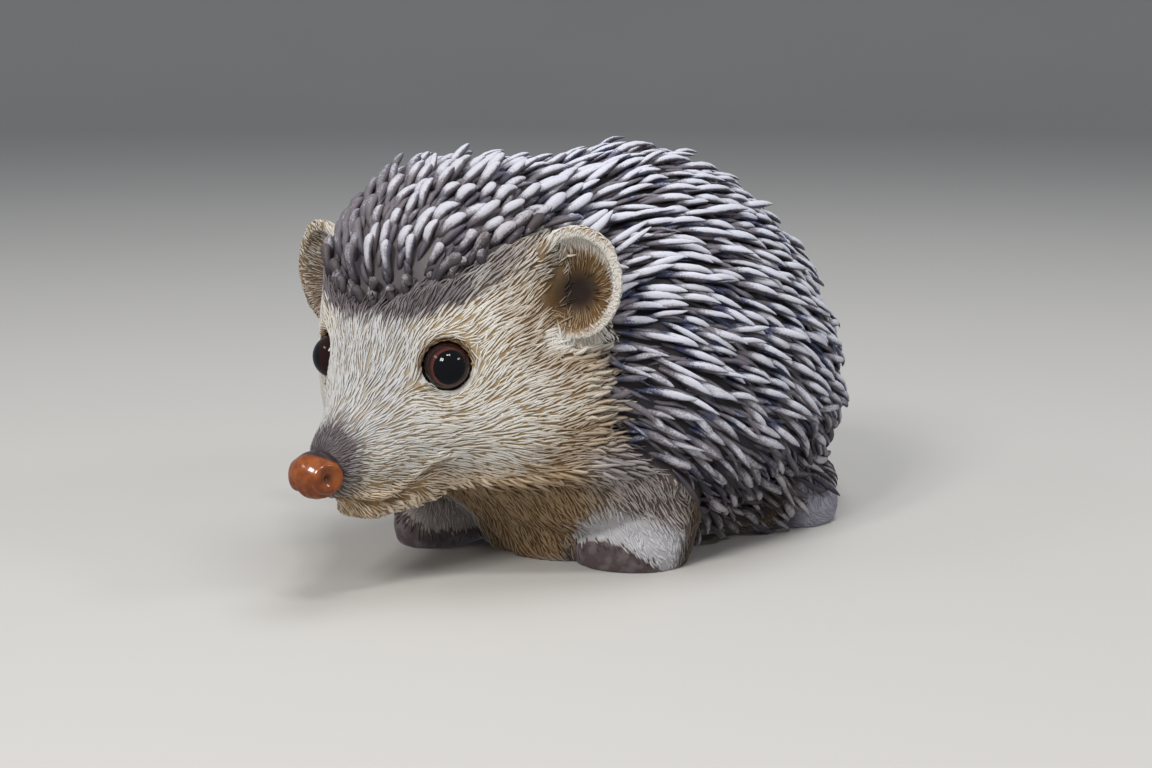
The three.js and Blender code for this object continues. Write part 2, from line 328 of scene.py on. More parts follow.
def paw_marks(at):
    """White tops, brown toes and the grey hind feet."""
    on_left, on_right = ease(27, 23, at.paw(PAW_LEFT)), ease(22, 18, at.paw(PAW_RIGHT))
    left_toes = np.interp(at.x, [22, 25, 28, 32, 38, 44, 48.5, 51], [-2, 4, 6.5, 8.3, 9, 8, 4, -2])
    right_toes = np.interp(at.x, [-42, -39, -35, -28, -22, -16, -10], [3, 8, 11, 11.5, 10, 7, 5])
    toe_line = np.where(at.x > MIDLINE, left_toes, right_toes)
    front = np.where(at.x > MIDLINE, ease(-8, -10, at.y), ease(-16, -22, at.y))
    toe = np.maximum(on_left, on_right) * ease(0.9, -0.9, at.z - toe_line) * front
    left_pale = np.interp(at.x, [24, 28, 33, 38, 43, 48, 52, 57], [0, 9, 13, 17.5, 19, 17, 14, 10])
    pale = on_left * ease(2.8, -2.8, at.z - left_pale) * (at.x > MIDLINE) * ease(0, -6, at.y)
    pale = pale + 0.6 * on_right * ease(18, 13, at.z) * ease(-38, -26, at.x)
    hind = ease(50, 56, at.y) * ease(18, 14, at.z) * ease(20, 26, np.abs(at.x - MIDLINE))
    return {
        "pale": np.clip(pale, 0, 1) * (1 - np.clip(toe, 0, 1)),
        "toe": np.clip(toe + hind, 0, 1),
        "hind": hind,
    }


def spine_marks(at):
    """Where spines grow, how white their tops are and how brown their sides; painted shade takes white off
    low on the flanks and over the far side of the crown.
    """
    # painted shade: the white on the spines thins out low down the flanks
    low = ease(74, 20, at.z)
    messy = ease(22, 4, at.ruff()) * ease(12, -6, at.up) * ease(-2, 2, at.ruff())
    fringe = ease(14, 1, at.brow()) * ease(-36, -24, at.ahead)
    band = ease(6, 0, at.brow()) * ease(-42, -34, at.ahead) * ease(9, 15, at.out)
    # painted shade: less white over the far side of the crown
    far_crown_shade = 0.8 * ease(-3, -14, at.side) * ease(-40, -20, at.ahead)
    bleach = 1 - 0.2 * at.crown()
    for loss in (0.6 * low, 0.6 * messy, 0.76 * fringe, 0.6 * band, far_crown_shade):
        bleach = bleach * (1 - loss)
    return {
        "spiny": ease(-0.8, 1.2, at.spines()),
        "crown": at.crown() * ease(-2, 6, at.brow()),
        "bleach": bleach,
        "warmth": np.clip(0.95 * ease(46, 12, at.z) + 0.95 * fringe + 0.35 * messy, 0, 1),
    }


def markings(points, normals):
    """Every painted marking as a share from 0 to 1 at each point, given the way the skin faces there."""
    at = Place(points)
    opening = ear_front(at, normals)
    return {**face_marks(at, opening), **dusk_marks(at, opening), **paw_marks(at), **spine_marks(at)}


def store(mesh, name, values):
    """A number at each vertex that materials read by name."""
    layer = mesh.attributes.new(name, "FLOAT", "POINT")
    layer.data.foreach_set("value", np.asarray(values, np.float32))


def store_markings(mesh, normals, stray=0):
    """Paints a mesh with the shared markings, read stray away from each vertex."""
    for name, values in markings(vertex_places(mesh) + stray, normals).items():
        store(mesh, name, values)


def vertex_places(mesh):
    """The places of a mesh's vertices, one row each."""
    places = np.empty(len(mesh.vertices) * 3)
    mesh.vertices.foreach_get("co", places)
    return places.reshape(-1, 3)


def vertex_normals(mesh):
    """The smooth normals of a mesh's vertices, one row each."""
    normals = np.empty(len(mesh.vertices) * 3)
    mesh.vertex_normals.foreach_get("vector", normals)
    return normals.reshape(-1, 3)


def place_vertices(mesh, places):
    """Moves a mesh's vertices to new places."""
    mesh.vertices.foreach_set("co", places.ravel())
    mesh.update()


# ==== Building by hand ====


def pick(piece):
    """Makes one object the only selected and active one."""
    bpy.ops.object.select_all(action="DESELECT")
    piece.select_set(True)
    bpy.context.view_layer.objects.active = piece


def apply_modifier(piece, kind, **settings):
    """Adds a modifier, sets it and applies it."""
    modifier = piece.modifiers.new(kind.lower(), kind)
    for name, value in settings.items():
        setattr(modifier, name, value)
    pick(piece)
    bpy.ops.object.modifier_apply(modifier=modifier.name)


def settle(piece):
    """Puts a finished piece's place into its mesh, with its object at the origin."""
    pick(piece)
    bpy.ops.object.transform_apply(location=True, rotation=True, scale=True)


def face_outward(piece, inside=False):
    """Turns every face of a piece outward, or inward, and shades it smooth."""
    pick(piece)
    bpy.ops.object.mode_set(mode="EDIT")
    bpy.ops.mesh.select_all(action="SELECT")
    bpy.ops.mesh.normals_make_consistent(inside=inside)
    bpy.ops.object.mode_set(mode="OBJECT")
    bpy.ops.object.shade_smooth()


def gaze(side):
    """The way an eye looks."""
    outward = GAZE_SIDE if side == "left" else -GAZE_SIDE
    return unit(SIDE_AXIS * outward + AHEAD_AXIS * GAZE_AHEAD + UP_AXIS * GAZE_UP)


def grown_flesh():
    """Copies of the flesh castings, merged and grown enough to touch, with a lid round each eye."""
    parts = []
    for name in FLESH:
        shell = bmesh.new()
        shell.from_mesh(frame["nodes"][name].data)
        bmesh.ops.remove_doubles(shell, verts=shell.verts, dist=0.01 * MM)
        shell.normal_update()
        for vertex in shell.verts:
            vertex.co += vertex.normal * GROW
        mesh = bpy.data.meshes.new("flesh_" + name)
        shell.to_mesh(mesh)
        shell.free()
        part = bpy.data.objects.new("flesh_" + name, mesh)
        bpy.context.collection.objects.link(part)
        parts.append(part)
    for side in EYES:
        turn = Vector(gaze(side)).to_track_quat("Z", "Y").to_euler()
        bpy.ops.object.select_all(action="DESELECT")
        bpy.ops.mesh.primitive_torus_add(
            major_radius=EYE_RADIUS + LID_THICKNESS * 0.95,
            minor_radius=LID_THICKNESS,
            major_segments=48,
            minor_segments=12,
            location=EYES[side] - gaze(side) * 1.8 * MM,
            rotation=turn,
        )
        lid = bpy.context.object
        settle(lid)
        parts.append(lid)
    bpy.ops.object.select_all(action="DESELECT")
    for part in parts:
        part.select_set(True)
    bpy.context.view_layer.objects.active = parts[0]
    bpy.ops.object.join()
    return parts[0]


def keep_outer_shell(piece):
    """Drops any closed bubble left inside the skin."""
    pick(piece)
    bpy.ops.object.mode_set(mode="EDIT")
    bpy.ops.mesh.select_all(action="DESELECT")
    bpy.ops.object.mode_set(mode="OBJECT")
    highest = int(np.argmax(vertex_places(piece.data)[:, 2]))
    piece.data.vertices[highest].select = True
    bpy.ops.object.mode_set(mode="EDIT")
    bpy.ops.mesh.select_linked()
    bpy.ops.mesh.select_all(action="INVERT")
    bpy.ops.mesh.delete(type="VERT")
    bpy.ops.object.mode_set(mode="OBJECT")


def coat_depth(at):
    """How far under the outline the skin lies, in millimetres."""
    inside = at.spines()
    deep = SPINE_DEPTH + (CROWN_DEPTH - SPINE_DEPTH) * at.crown()
    depth = FUR_DEPTH + (deep - FUR_DEPTH) * ease(-1.0, 3.0, inside)
    throat = 2.6 * ease(-1.5, 1.5, at.jaw()) * ease(16, 3, at.jaw()) * ease(-46, -34, at.ahead)
    feet = ease(12, 8, at.z) * ease(0.5, -0.5, inside)
    ears = at.on_ear()
    return (depth + throat) * (1 - 0.7 * feet) * (1 - ears) + EAR_DEPTH * ears


def narrow_muzzle(places):
    """Draws the end of the muzzle in, so that the nose sits on it without a collar."""
    nose = from_head(*NOSE_TIP)
    back = unit(UP_AXIS * 0.343 - AHEAD_AXIS * 0.94)
    behind = (places - nose) @ back
    axis = nose + behind[:, None] * back
    shrink = 1 - 0.2 * ease(MUZZLE_REACH - MM, MM, behind)
    close = np.linalg.norm(places - axis, axis=1) < 16 * MM
    shrink = np.where(close & (behind < MUZZLE_REACH), shrink, 1)
    return axis + (places - axis) * shrink[:, None]


def carve(places, normals):
    """Carves the mouth with its overlapping lip, the chin, the eyes' sockets and the cups of the ears."""
    places = narrow_muzzle(places)
    at = Place(places)
    distance, above, _ = mouth_distance(at)
    groove = -1.7 * hump(0, 1, distance)
    lip = 0.9 * hump(2.3, 1.4, distance) * (above > 0)
    swell = 1.7 * ease(-12, -2, at.ahead) * ease(22, 15, at.ahead) * ease(-34.5, -36.5, at.up)
    swell = swell * ease(18, 12, at.out) * ease(1.2, 3, distance)
    socket = -1.1 * ease(9.5, 7, eye_gap(at))
    cup = -1.5 * ease(10, 3, at.ear()) * ear_front(at, normals) * (at.out > 34)
    shift = (groove + lip) * ease(7, 3, distance) + swell + socket + cup
    return places + normals * (shift * MM)[:, None]


def make_skin():
    """One skin over the whole animal, let down into it by the depth of its coat."""
    skin = grown_flesh()
    skin.name = skin.data.name = "skin"
    skin.data.materials.clear()
    apply_modifier(skin, "REMESH", mode="VOXEL", voxel_size=VOXEL, use_smooth_shade=True)
    keep_outer_shell(skin)
    apply_modifier(skin, "SMOOTH", factor=0.5, iterations=4)
    mesh = skin.data
    places, normals = vertex_places(mesh), vertex_normals(mesh)
    depth = coat_depth(Place(places)) - GROW / MM
    place_vertices(mesh, places - normals * (depth * MM)[:, None])
    apply_modifier(skin, "SMOOTH", factor=0.5, iterations=3)
    place_vertices(mesh, carve(vertex_places(mesh), vertex_normals(mesh)))
    at = Place(vertex_places(mesh))
    plain = np.maximum(ease(0, 3, at.spines()), 0.6 * ease(-1, 4, at.jaw()))
    group = skin.vertex_groups.new(name="plain")
    for step in range(1, 11):
        chosen = np.flatnonzero(np.round(plain * 10) == step)
        group.add(chosen.tolist(), step / 10, "REPLACE")
    apply_modifier(skin, "DECIMATE", ratio=0.36, vertex_group="plain")
    skin.vertex_groups.clear()
    places = vertex_places(mesh)
    places[:, 2] = np.maximum(places[:, 2], 0)
    place_vertices(mesh, places)
    pick(skin)
    bpy.ops.object.shade_smooth()
    return skin


class Surface:
    """A mesh as arrays, with a tree that finds its nearest point."""

    def __init__(self, mesh):
        mesh.calc_loop_triangles()
        self.places, self.normals = vertex_places(mesh), vertex_normals(mesh)
        corners = np.empty(len(mesh.loop_triangles) * 3, np.int64)
        mesh.loop_triangles.foreach_get("vertices", corners)
        self.corners = corners.reshape(-1, 3)
        self.tree = BVHTree.FromPolygons(self.places.tolist(), self.corners.tolist())

    def blend(self, triangles, shares, values):
        """Values at the corners of triangles, mixed by each point's shares of them."""
        return (values[self.corners[triangles]] * shares[:, :, None]).sum(1)

    def scatter(self, count, rng):
        """Random points spread evenly by area, with their smooth normals."""
        a, b, c = (self.places[self.corners[:, i]] for i in range(3))
        area = np.linalg.norm(np.cross(b - a, c - a), axis=1)
        triangles = rng.choice(len(area), count, p=area / area.sum())
        first, second = np.sqrt(rng.random(count)), rng.random(count)
        shares = np.stack([1 - first, first * (1 - second), first * second], 1)
        return self.blend(triangles, shares, self.places), unit(self.blend(triangles, shares, self.normals))

    def locate(self, points):
        """The nearest triangle to each point, and the point's shares of its corners."""
        triangles = np.empty(len(points), np.int64)
        found = np.empty((len(points), 3))
        for row, point in enumerate(points):
            spot, _, index, _ = self.tree.find_nearest(Vector(point))
            triangles[row], found[row] = index, spot
        a, b, c = (self.places[self.corners[triangles, i]] for i in range(3))
        whole = np.cross(b - a, c - a)
        size = (whole * whole).sum(1) + 1e-30
        second = (np.cross(found - a, c - a) * whole).sum(1) / size
        third = (np.cross(b - a, found - a) * whole).sum(1) / size
        shares = np.clip(np.stack([1 - second - third, second, third], 1), 0, 1)
        return triangles, shares / shares.sum(1, keepdims=True)

    def nearest(self, points):
        """The nearest points of the surface, and their smooth normals."""
        triangles, shares = self.locate(points)
        return self.blend(triangles, shares, self.places), unit(self.blend(triangles, shares, self.normals))


# ==== The lie of the coat ====


def along_skin(directions, normals):
    """Directions laid down along the skin."""
    flat = directions - (directions * normals).sum(1, keepdims=True) * normals
    return unit(flat)


def spine_lie(points, normals):
    """Spines run back from the brow, sweep tailwards and droop down the flanks and rump."""
    at = Place(points)
    standing = at.crown()[:, None]
    backwards = np.tile([0.0, 1.0, 0.0], (len(points), 1))
    near = ease(-14, 16, at.side)[:, None]
    head_back = CROWN_AIM[None, :] + near * (0.2 * SIDE_AXIS - 0.45 * AHEAD_AXIS - 0.2 * UP_AXIS)
    flow = backwards * (1 - standing) + head_back * standing
    droop = 0.02 + 0.52 * ease(102, 82, at.z) + 0.35 * ease(60, 22, at.z) + 0.6 * ease(70, 100, at.y)
    droop *= (1 - at.crown()) * (1 - 0.6 * ease(14, 2, at.ruff()) * ease(60, 40, at.z))
    flow = flow + np.array([0, 0, -1.0]) * droop[:, None]
    outward = np.stack([at.x - 2, np.zeros(len(at.x)), np.zeros(len(at.x))], 1) / 60
    flow = flow + outward * (0.35 * ease(60, 110, at.z))[:, None]
    return along_skin(flow, normals)


def fur_lie(points, normals):
    """Fur runs back from the nose, parts round the eyes, fans over the ears and hangs on chest and legs."""
    at = Place(points)
    flow = unit(points - from_head(0, 40, -24))
    for side in EYES:
        gap = points - EYES[side]
        distance = np.linalg.norm(gap, axis=1, keepdims=True)
        away = gap / distance
        parting = np.clip((7.4 * MM / distance) ** 2, 0, 1)
        flow = flow - parting * (2 * (flow * away).sum(1, keepdims=True) * away - flow)
    lips, above, course = mouth_distance(at)
    beside = (ease(3.6, 1.2, lips) * ease(2, 0.5, lips * (above > 0) * 0.6))[:, None]
    lipwise = course[:, :1] * SIDE_AXIS + course[:, 1:2] * AHEAD_AXIS + course[:, 2:] * UP_AXIS
    flow = unit(flow) * (1 - beside) + lipwise * beside
    chin = hump(-37, 4, at.up) * ease(-8, 4, at.ahead) * (above < 0)
    flow = flow + np.array([0, 0, -0.6]) * chin[:, None]
    hanging = np.stack([0.012 * (at.x - MIDLINE), 0.22 + 0 * at.x, -1 + 0 * at.x], 1)
    face = at.face()[:, None]
    flow = flow * face + hanging * (1 - face)
    off_paws = ease(16, 22, np.minimum(at.paw(PAW_LEFT), at.paw(PAW_RIGHT)))
    belly = (ease(8, 3, at.z) * off_paws)[:, None]
    flow = flow * (1 - belly) + np.array([0, 1.0, 0]) * belly
    waver = np.sin(0.75 * at.side + 0.31 * at.up + 1.7) + np.sin(0.52 * at.up - 0.43 * at.ahead + 0.4)
    waver = waver + np.sin(0.66 * at.ahead + 0.37 * at.side)
    turn = (0.15 * waver * ease(6, 14, eye_gap(at)) * ease(32, 22, at.ahead))[:, None]
    flow = along_skin(flow, normals)
    flow = flow * np.cos(turn) + np.cross(normals, flow) * np.sin(turn)
    opening = ear_front(at, normals)[:, None]
    for sign in (1, -1):
        side, ahead, up = EAR_HOLLOW
        hollow, root = from_head(sign * side, ahead, up), from_head(sign * (side - 14), ahead, up - 12)
        ear = (at.on_ear() * (at.side * sign > 0))[:, None]
        fan = unit(points - hollow) * opening + unit(points - root) * (1 - opening)
        flow = flow * (1 - ear) + fan * ear
    return along_skin(flow, normals)


def spread(points, lie, across, along):
    """Picks points in turn, none nearer to an earlier one than across sideways or along lengthways."""
    cell = float(np.max(np.maximum(across, along)))
    boxes = np.floor(points / cell).astype(int)
    filled = {}
    kept = []
    around = [(i, j, k) for i in (-1, 0, 1) for j in (-1, 0, 1) for k in (-1, 0, 1)]
    for index, (i, j, k) in enumerate(boxes.tolist()):
        near = [other for di, dj, dk in around for other in filled.get((i + di, j + dj, k + dk), ())]
        if near:
            gap = points[near] - points[index]
            forward = gap @ lie[index]
            sideways = (gap * gap).sum(1) - forward * forward
            if ((forward / along[index]) ** 2 + sideways / across[index] ** 2 < 1).any():
                continue
        kept.append(index)
        filled.setdefault((i, j, k), []).append(index)
    return np.array(kept)


# ==== Tufts ====


def drawn_tuft(name, sides, sections):
    """A closed tuft along Y, one unit long and wide: a ring drawn out from root to tip, section by section.

    sections are (place along it, width there).
    """
    place, width = sections[0]
    bpy.ops.object.select_all(action="DESELECT")
    bpy.ops.mesh.primitive_circle_add(
        vertices=sides,
        radius=width / 2,
        fill_type="NGON",
        location=(0, place, 0),
        rotation=(math.pi / 2, 0, 0),
    )
    tuft = bpy.context.object
    tuft.name = name
    settle(tuft)
    bpy.ops.object.mode_set(mode="EDIT")
    bpy.ops.mesh.select_all(action="SELECT")
    for (place, width), (next_place, next_width) in zip(sections, sections[1:]):
        bpy.ops.mesh.extrude_region_move(TRANSFORM_OT_translate={"value": (0, next_place - place, 0)})
        size = next_width / width
        bpy.ops.transform.resize(value=(size, 1, size), center_override=(0, next_place, 0))
    bpy.ops.object.mode_set(mode="OBJECT")
    face_outward(tuft)
    return tuft


class Tuft:
    """A master tuft as arrays, ready to be copied; the modelled one is then taken away."""

    def __init__(self, name, sides, sections):
        model = drawn_tuft(name, sides, sections)
        mesh = model.data
        self.places = vertex_places(mesh)
        self.corners = np.empty(len(mesh.loops), np.int64)
        mesh.loops.foreach_get("vertex_index", self.corners)
        self.starts = np.empty(len(mesh.polygons), np.int64)
        mesh.polygons.foreach_get("loop_start", self.starts)
        self.along = np.clip(self.places[:, 1], 0, 1)
        girth = np.interp(self.along, [s[0] for s in sections], [s[1] for s in sections])
        self.crest = np.clip(0.5 + self.places[:, 2] / np.maximum(girth, 0.05), 0, 1)
        self.around = np.arctan2(self.places[:, 0], self.places[:, 2]) / (2 * math.pi)
        self.patch = self.unrolled()
        bpy.data.objects.remove(model)
        bpy.data.meshes.remove(mesh)

    def unrolled(self):
        """Each corner's place on the tuft unrolled round its own length, from -0.5 to 0.5 both ways."""
        ends = list(self.starts[1:]) + [len(self.corners)]
        patch = np.empty((len(self.corners), 2))
        for start, end in zip(self.starts, ends):
            ring = self.places[self.corners[start:end]]
            centre = ring.mean(0)
            heading = math.atan2(centre[0], centre[2])
            turns = np.arctan2(ring[:, 0], ring[:, 2]) - heading
            turns = (turns + math.pi) % (2 * math.pi) - math.pi + heading
            patch[start:end, 0] = turns / (2 * math.pi) * 0.9
            patch[start:end, 1] = ring[:, 1] - 0.5
        return np.clip(patch, -0.5, 0.5)


def bent_copies(tuft, surface, roots, normals, cut):
    """Copies of a tuft, each bent along the skin from its root; one row of vertices each."""
    lie, length = cut["lie"], cut["length"][:, None]
    rise = cut["rise"][:, None]
    reach = np.sqrt(np.maximum(length**2 - rise**2, (0.3 * length) ** 2))
    across = np.cross(lie, normals)
    sway = cut["sway"][:, None] * across
    halfway, halfway_normal = surface.nearest(roots + lie * reach * 0.5 + sway * 0.4)
    end, end_normal = surface.nearest(roots + lie * reach + sway)
    first = roots - normals * cut["sink"][:, None]
    second = halfway + halfway_normal * (cut["arch"][:, None] + 0.42 * rise)
    third = end + end_normal * rise
    t = tuft.along[None, :, None]
    first, second, third = first[:, None], second[:, None], third[:, None]
    centre = first * (2 * t * t - 3 * t + 1) + second * (4 * t - 4 * t * t) + third * (2 * t * t - t)
    bend = cut["wave"][:, None, None] * np.sin(2 * math.pi * (t * 0.9 + cut["phase"][:, None, None]))
    centre = centre + across[:, None] * bend * t
    heading = unit(first * (4 * t - 3) + second * (4 - 8 * t) + third * (4 * t - 1))
    up = unit(normals[:, None] * (1 - t) + end_normal[:, None] * t)
    aside = unit(np.cross(heading, up))
    above = np.cross(aside, heading)
    wide = tuft.places[None, :, 0, None] * cut["width"][:, None, None]
    tall = tuft.places[None, :, 2, None] * cut["height"][:, None, None]
    return centre + aside * wide + above * tall


def coat_piece(name, tuft, surface, unwrap, roots, normals, cut, rng):
    """One mesh of many copies of a tuft, painted, and unwrapped in patches at its roots."""
    count, size = len(roots), len(tuft.places)
    places = bent_copies(tuft, surface, roots, normals, cut).reshape(-1, 3)
    places[:, 2] = np.maximum(places[:, 2], FLOOR_GAP)
    mesh = bpy.data.meshes.new(name)
    mesh.vertices.add(count * size)
    mesh.vertices.foreach_set("co", places.ravel())
    loops, faces = len(tuft.corners), len(tuft.starts)
    mesh.loops.add(count * loops)
    mesh.polygons.add(count * faces)
    copies = np.arange(count)[:, None]
    mesh.loops.foreach_set("vertex_index", (tuft.corners[None] + copies * size).ravel().astype(np.int32))
    mesh.polygons.foreach_set("loop_start", (tuft.starts[None] + copies * loops).ravel().astype(np.int32))
    mesh.update(calc_edges=True)
    mesh.validate()
    for mark in ("along", "crest", "around"):
        store(mesh, mark, np.tile(getattr(tuft, mark), count))
    store(mesh, "lot", np.repeat(rng.random(count), size))
    stray = rng.normal(0, PAINT_STRAY, (count, 3)) * ease(9, 14, eye_gap(Place(roots)))[:, None]
    store_markings(mesh, np.repeat(normals, size, axis=0), np.repeat(stray, size, axis=0))
    patches = unwrap.of(roots)[:, None, :] + tuft.patch[None] * PATCH
    layer = mesh.uv_layers.new(name="OFBake")
    layer.data.foreach_set("uv", patches.ravel().astype(np.float32))
    piece = bpy.data.objects.new(name, mesh)
    bpy.context.collection.objects.link(piece)
    pick(piece)
    bpy.ops.object.shade_smooth()
    return piece


class Unwrap:
    """A light unwrapped copy of the skin, which gives any root its place on the skin's own unwrap."""

    def __init__(self, skin):
        copy = skin.copy()
        copy.data = skin.data.copy()
        bpy.context.collection.objects.link(copy)
        apply_modifier(copy, "DECIMATE", ratio=0.08)
        apply_modifier(copy, "TRIANGULATE")
        bpy.ops.object.mode_set(mode="EDIT")
        bpy.ops.mesh.select_all(action="SELECT")
        bpy.ops.uv.smart_project(angle_limit=math.radians(66), island_margin=0.004)
        bpy.ops.object.mode_set(mode="OBJECT")
        mesh = copy.data
        self.surface = Surface(mesh)
        loops = np.empty(len(mesh.loop_triangles) * 3, np.int64)
        mesh.loop_triangles.foreach_get("loops", loops)
        corners = np.empty(len(mesh.loops) * 2)
        mesh.uv_layers.active.data.foreach_get("uv", corners)
        self.corners = corners.reshape(-1, 2)[loops.reshape(-1, 3)]
        bpy.data.objects.remove(copy)
        bpy.data.meshes.remove(mesh)

    def of(self, points):
        """Where points lie on the unwrap."""
        triangles, shares = self.surface.locate(points)
        return (self.corners[triangles] * shares[:, :, None]).sum(1)


# ==== The coat ====

# Each kind of tuft as (how far along it, how wide there), in shares of its length and greatest width
DROP = [(0, 0.36), (0.15, 0.62), (0.34, 0.9), (0.52, 1), (0.7, 0.9), (0.85, 0.62), (0.95, 0.32), (1, 0.1)]
STUB = [(0, 0.6), (0.3, 0.66), (0.55, 0.74), (0.74, 0.96), (0.88, 1), (0.97, 0.62), (1, 0.25)]
BLUNT = [(0, 0.45), (0.2, 0.7), (0.42, 0.94), (0.62, 1), (0.8, 0.87), (0.93, 0.56), (1, 0.18)]
SLIVER = [(0, 0.5), (0.25, 0.85), (0.55, 1), (0.82, 0.7), (1, 0.15)]
LOCK = [(0, 0.35), (0.25, 0.85), (0.55, 1), (0.8, 0.72), (0.94, 0.36), (1, 0.1)]
FACE_STROKE = [(0, 0.35), (0.25, 0.88), (0.6, 1), (0.86, 0.66), (1, 0.14)]
BODY_STROKE = [(0, 0.3), (0.25, 0.85), (0.6, 1), (0.86, 0.62), (1, 0.12)]
EAR_STROKE = [(0, 0.4), (0.3, 0.9), (0.65, 1), (0.9, 0.66), (1, 0.2)]
PAW_STROKE = [(0, 0.4), (0.35, 0.95), (0.7, 0.95), (1, 0.3)]


def spine_roots(surface, tries, rng):
    """Tries points all over the skin, and keeps those where spines grow, with their normals and lie."""
    points, normals = surface.scatter(tries, rng)
    at = Place(points)
    wanted = (at.spines() > 0.2) & (at.on_ear() < 0.3) & ((at.y > 0) | (at.skirt() > 3.2))
    points, normals = points[wanted], normals[wanted]
    return points, normals, spine_lie(points, normals)


def spine_cut(points, normals, lie, rng):
    """Length, girth and bend of each spine."""
    at = Place(points)
    count = len(points)
    vary = rng.normal(0, 1, count)
    messy, low, crown, front = at.messy(), ease(30, 8, at.z), at.crown(), at.front()
    length = 16.8 - 6.2 * crown - 4.6 * messy - 4.0 * low - 2.4 * front + 1.9 * vary
    length = np.clip(length - 5 * ease(88, 100, at.y) * ease(45, 25, at.z), 4.5, 19)
    width = 2.45 + 0.85 * crown + 0.5 * front - 0.55 * messy - 0.1 * low + 0.38 * rng.normal(0, 1, count)
    width = np.clip(width, 1.2, 4.4)
    lift = np.degrees(np.arcsin(np.clip(normals @ CROWN_AIM, 0.1, 0.5)))
    stand = 9 + (lift - 7) * crown + 14 * front + 4 * messy + 4.5 * rng.normal(0, 1, count)
    turn = np.radians(rng.normal(0, 1, count) * (9 + 9 * messy))[:, None]
    lie = unit(lie * np.cos(turn) + np.cross(normals, lie) * np.sin(turn))
    return {
        "lie": lie,
        "length": length * MM,
        "width": width * MM,
        "height": width * 0.8 * MM,
        "rise": length * np.sin(np.radians(np.clip(stand, 3, 55 - 25 * front))) * MM,
        "arch": (0.95 + 0.25 * rng.random(count)) * MM,
        "sink": np.full(count, 0.5 * MM),
        "sway": rng.normal(0, 0.8, count) * MM,
        "wave": np.abs(rng.normal(0, 0.45, count)) * MM,
        "phase": rng.random(count),
    }


def chosen_cut(cut, chosen):
    """The part of a cut that belongs to some of its tufts."""
    return {name: values[chosen] for name, values in cut.items()}


def make_spines(surface, unwrap):
    """The cast spines, in pieces for crown, back and flanks."""
    rng = np.random.default_rng(11)
    roots, normals, lie = spine_roots(surface, 42000, rng)
    at = Place(roots)
    messy, crown = at.messy(), at.crown()
    across = (2.85 - 0.6 * messy + 0.4 * crown + 0.5 * at.front()) * MM
    along = (7.5 - 2.2 * messy - 2.1 * crown - 0.8 * ease(30, 8, at.z)) * MM
    kept = spread(roots, lie, across, along)
    # spines whose tips would meet an ear or hang beside the foreleg are left out
    tips = Place(roots[kept] + (lie[kept] * 8 + normals[kept] * 2) * MM)
    beside_leg = (tips.y < -18) & (tips.z < 46)
    kept = kept[((tips.ear() > 15) | (tips.out < 37) | (tips.ahead < -38)) & ~beside_leg]
    roots, normals, lie = roots[kept], normals[kept], lie[kept]
    cut = spine_cut(roots, normals, lie, rng)
    at = Place(roots)
    crown = (at.crown() > 0.25) & (at.brow() > -6)
    stubby = crown & (at.brow() < 9) & (at.ahead > -24) & (at.out < 25) & (rng.random(len(roots)) < 0.85)
    groups = {
        "spines_brow": (STUB, stubby),
        "spines_crown": (BLUNT, crown & ~stubby),
        "spines_left": (DROP, ~crown & (at.x >= 4)),
        "spines_right": (DROP, ~crown & (at.x < 4)),
    }
    pieces = []
    for name, (sections, chosen) in groups.items():
        tuft = Tuft(name + "_tuft", 8, sections)
        part = chosen_cut(cut, chosen)
        pieces.append(coat_piece(name, tuft, surface, unwrap, roots[chosen], normals[chosen], part, rng))
    return pieces


def make_undercoat(surface, unwrap):
    """Thin dark spines low down between the others, which close the gaps at their roots."""
    rng = np.random.default_rng(17)
    sliver = Tuft("sliver", 5, SLIVER)
    roots, normals, lie = spine_roots(surface, 30000, rng)
    even = np.full(len(roots), MM)
    kept = spread(roots, lie, 2.3 * even, 5.0 * even)
    roots, normals, lie = roots[kept], normals[kept], lie[kept]
    cut = spine_cut(roots, normals, lie, rng)
    for name, share in {"length": 0.78, "width": 0.7, "height": 0.6, "rise": 0.35, "arch": 0.5}.items():
        cut[name] = cut[name] * share
    piece = coat_piece("spines_under", sliver, surface, unwrap, roots, normals, cut, rng)
    bleach = piece.data.attributes["bleach"].data
    values = np.empty(len(piece.data.vertices), np.float32)
    bleach.foreach_get("value", values)
    bleach.foreach_set("value", values * 0.12)
    return piece


def fur_roots(surface, wanted, tries, pitch, rng):
    """Roots of fur strokes where wanted, spaced by pitch: millimetres across and along."""
    points, normals = surface.scatter(tries, rng)
    chosen = wanted(Place(points), normals)
    points, normals = points[chosen], normals[chosen]
    lie = fur_lie(points, normals)
    across, along = pitch(Place(points)) if callable(pitch) else pitch
    kept = spread(points, lie, *(np.broadcast_to(gap * MM, len(points)) for gap in (across, along)))
    return points[kept], normals[kept], lie[kept]


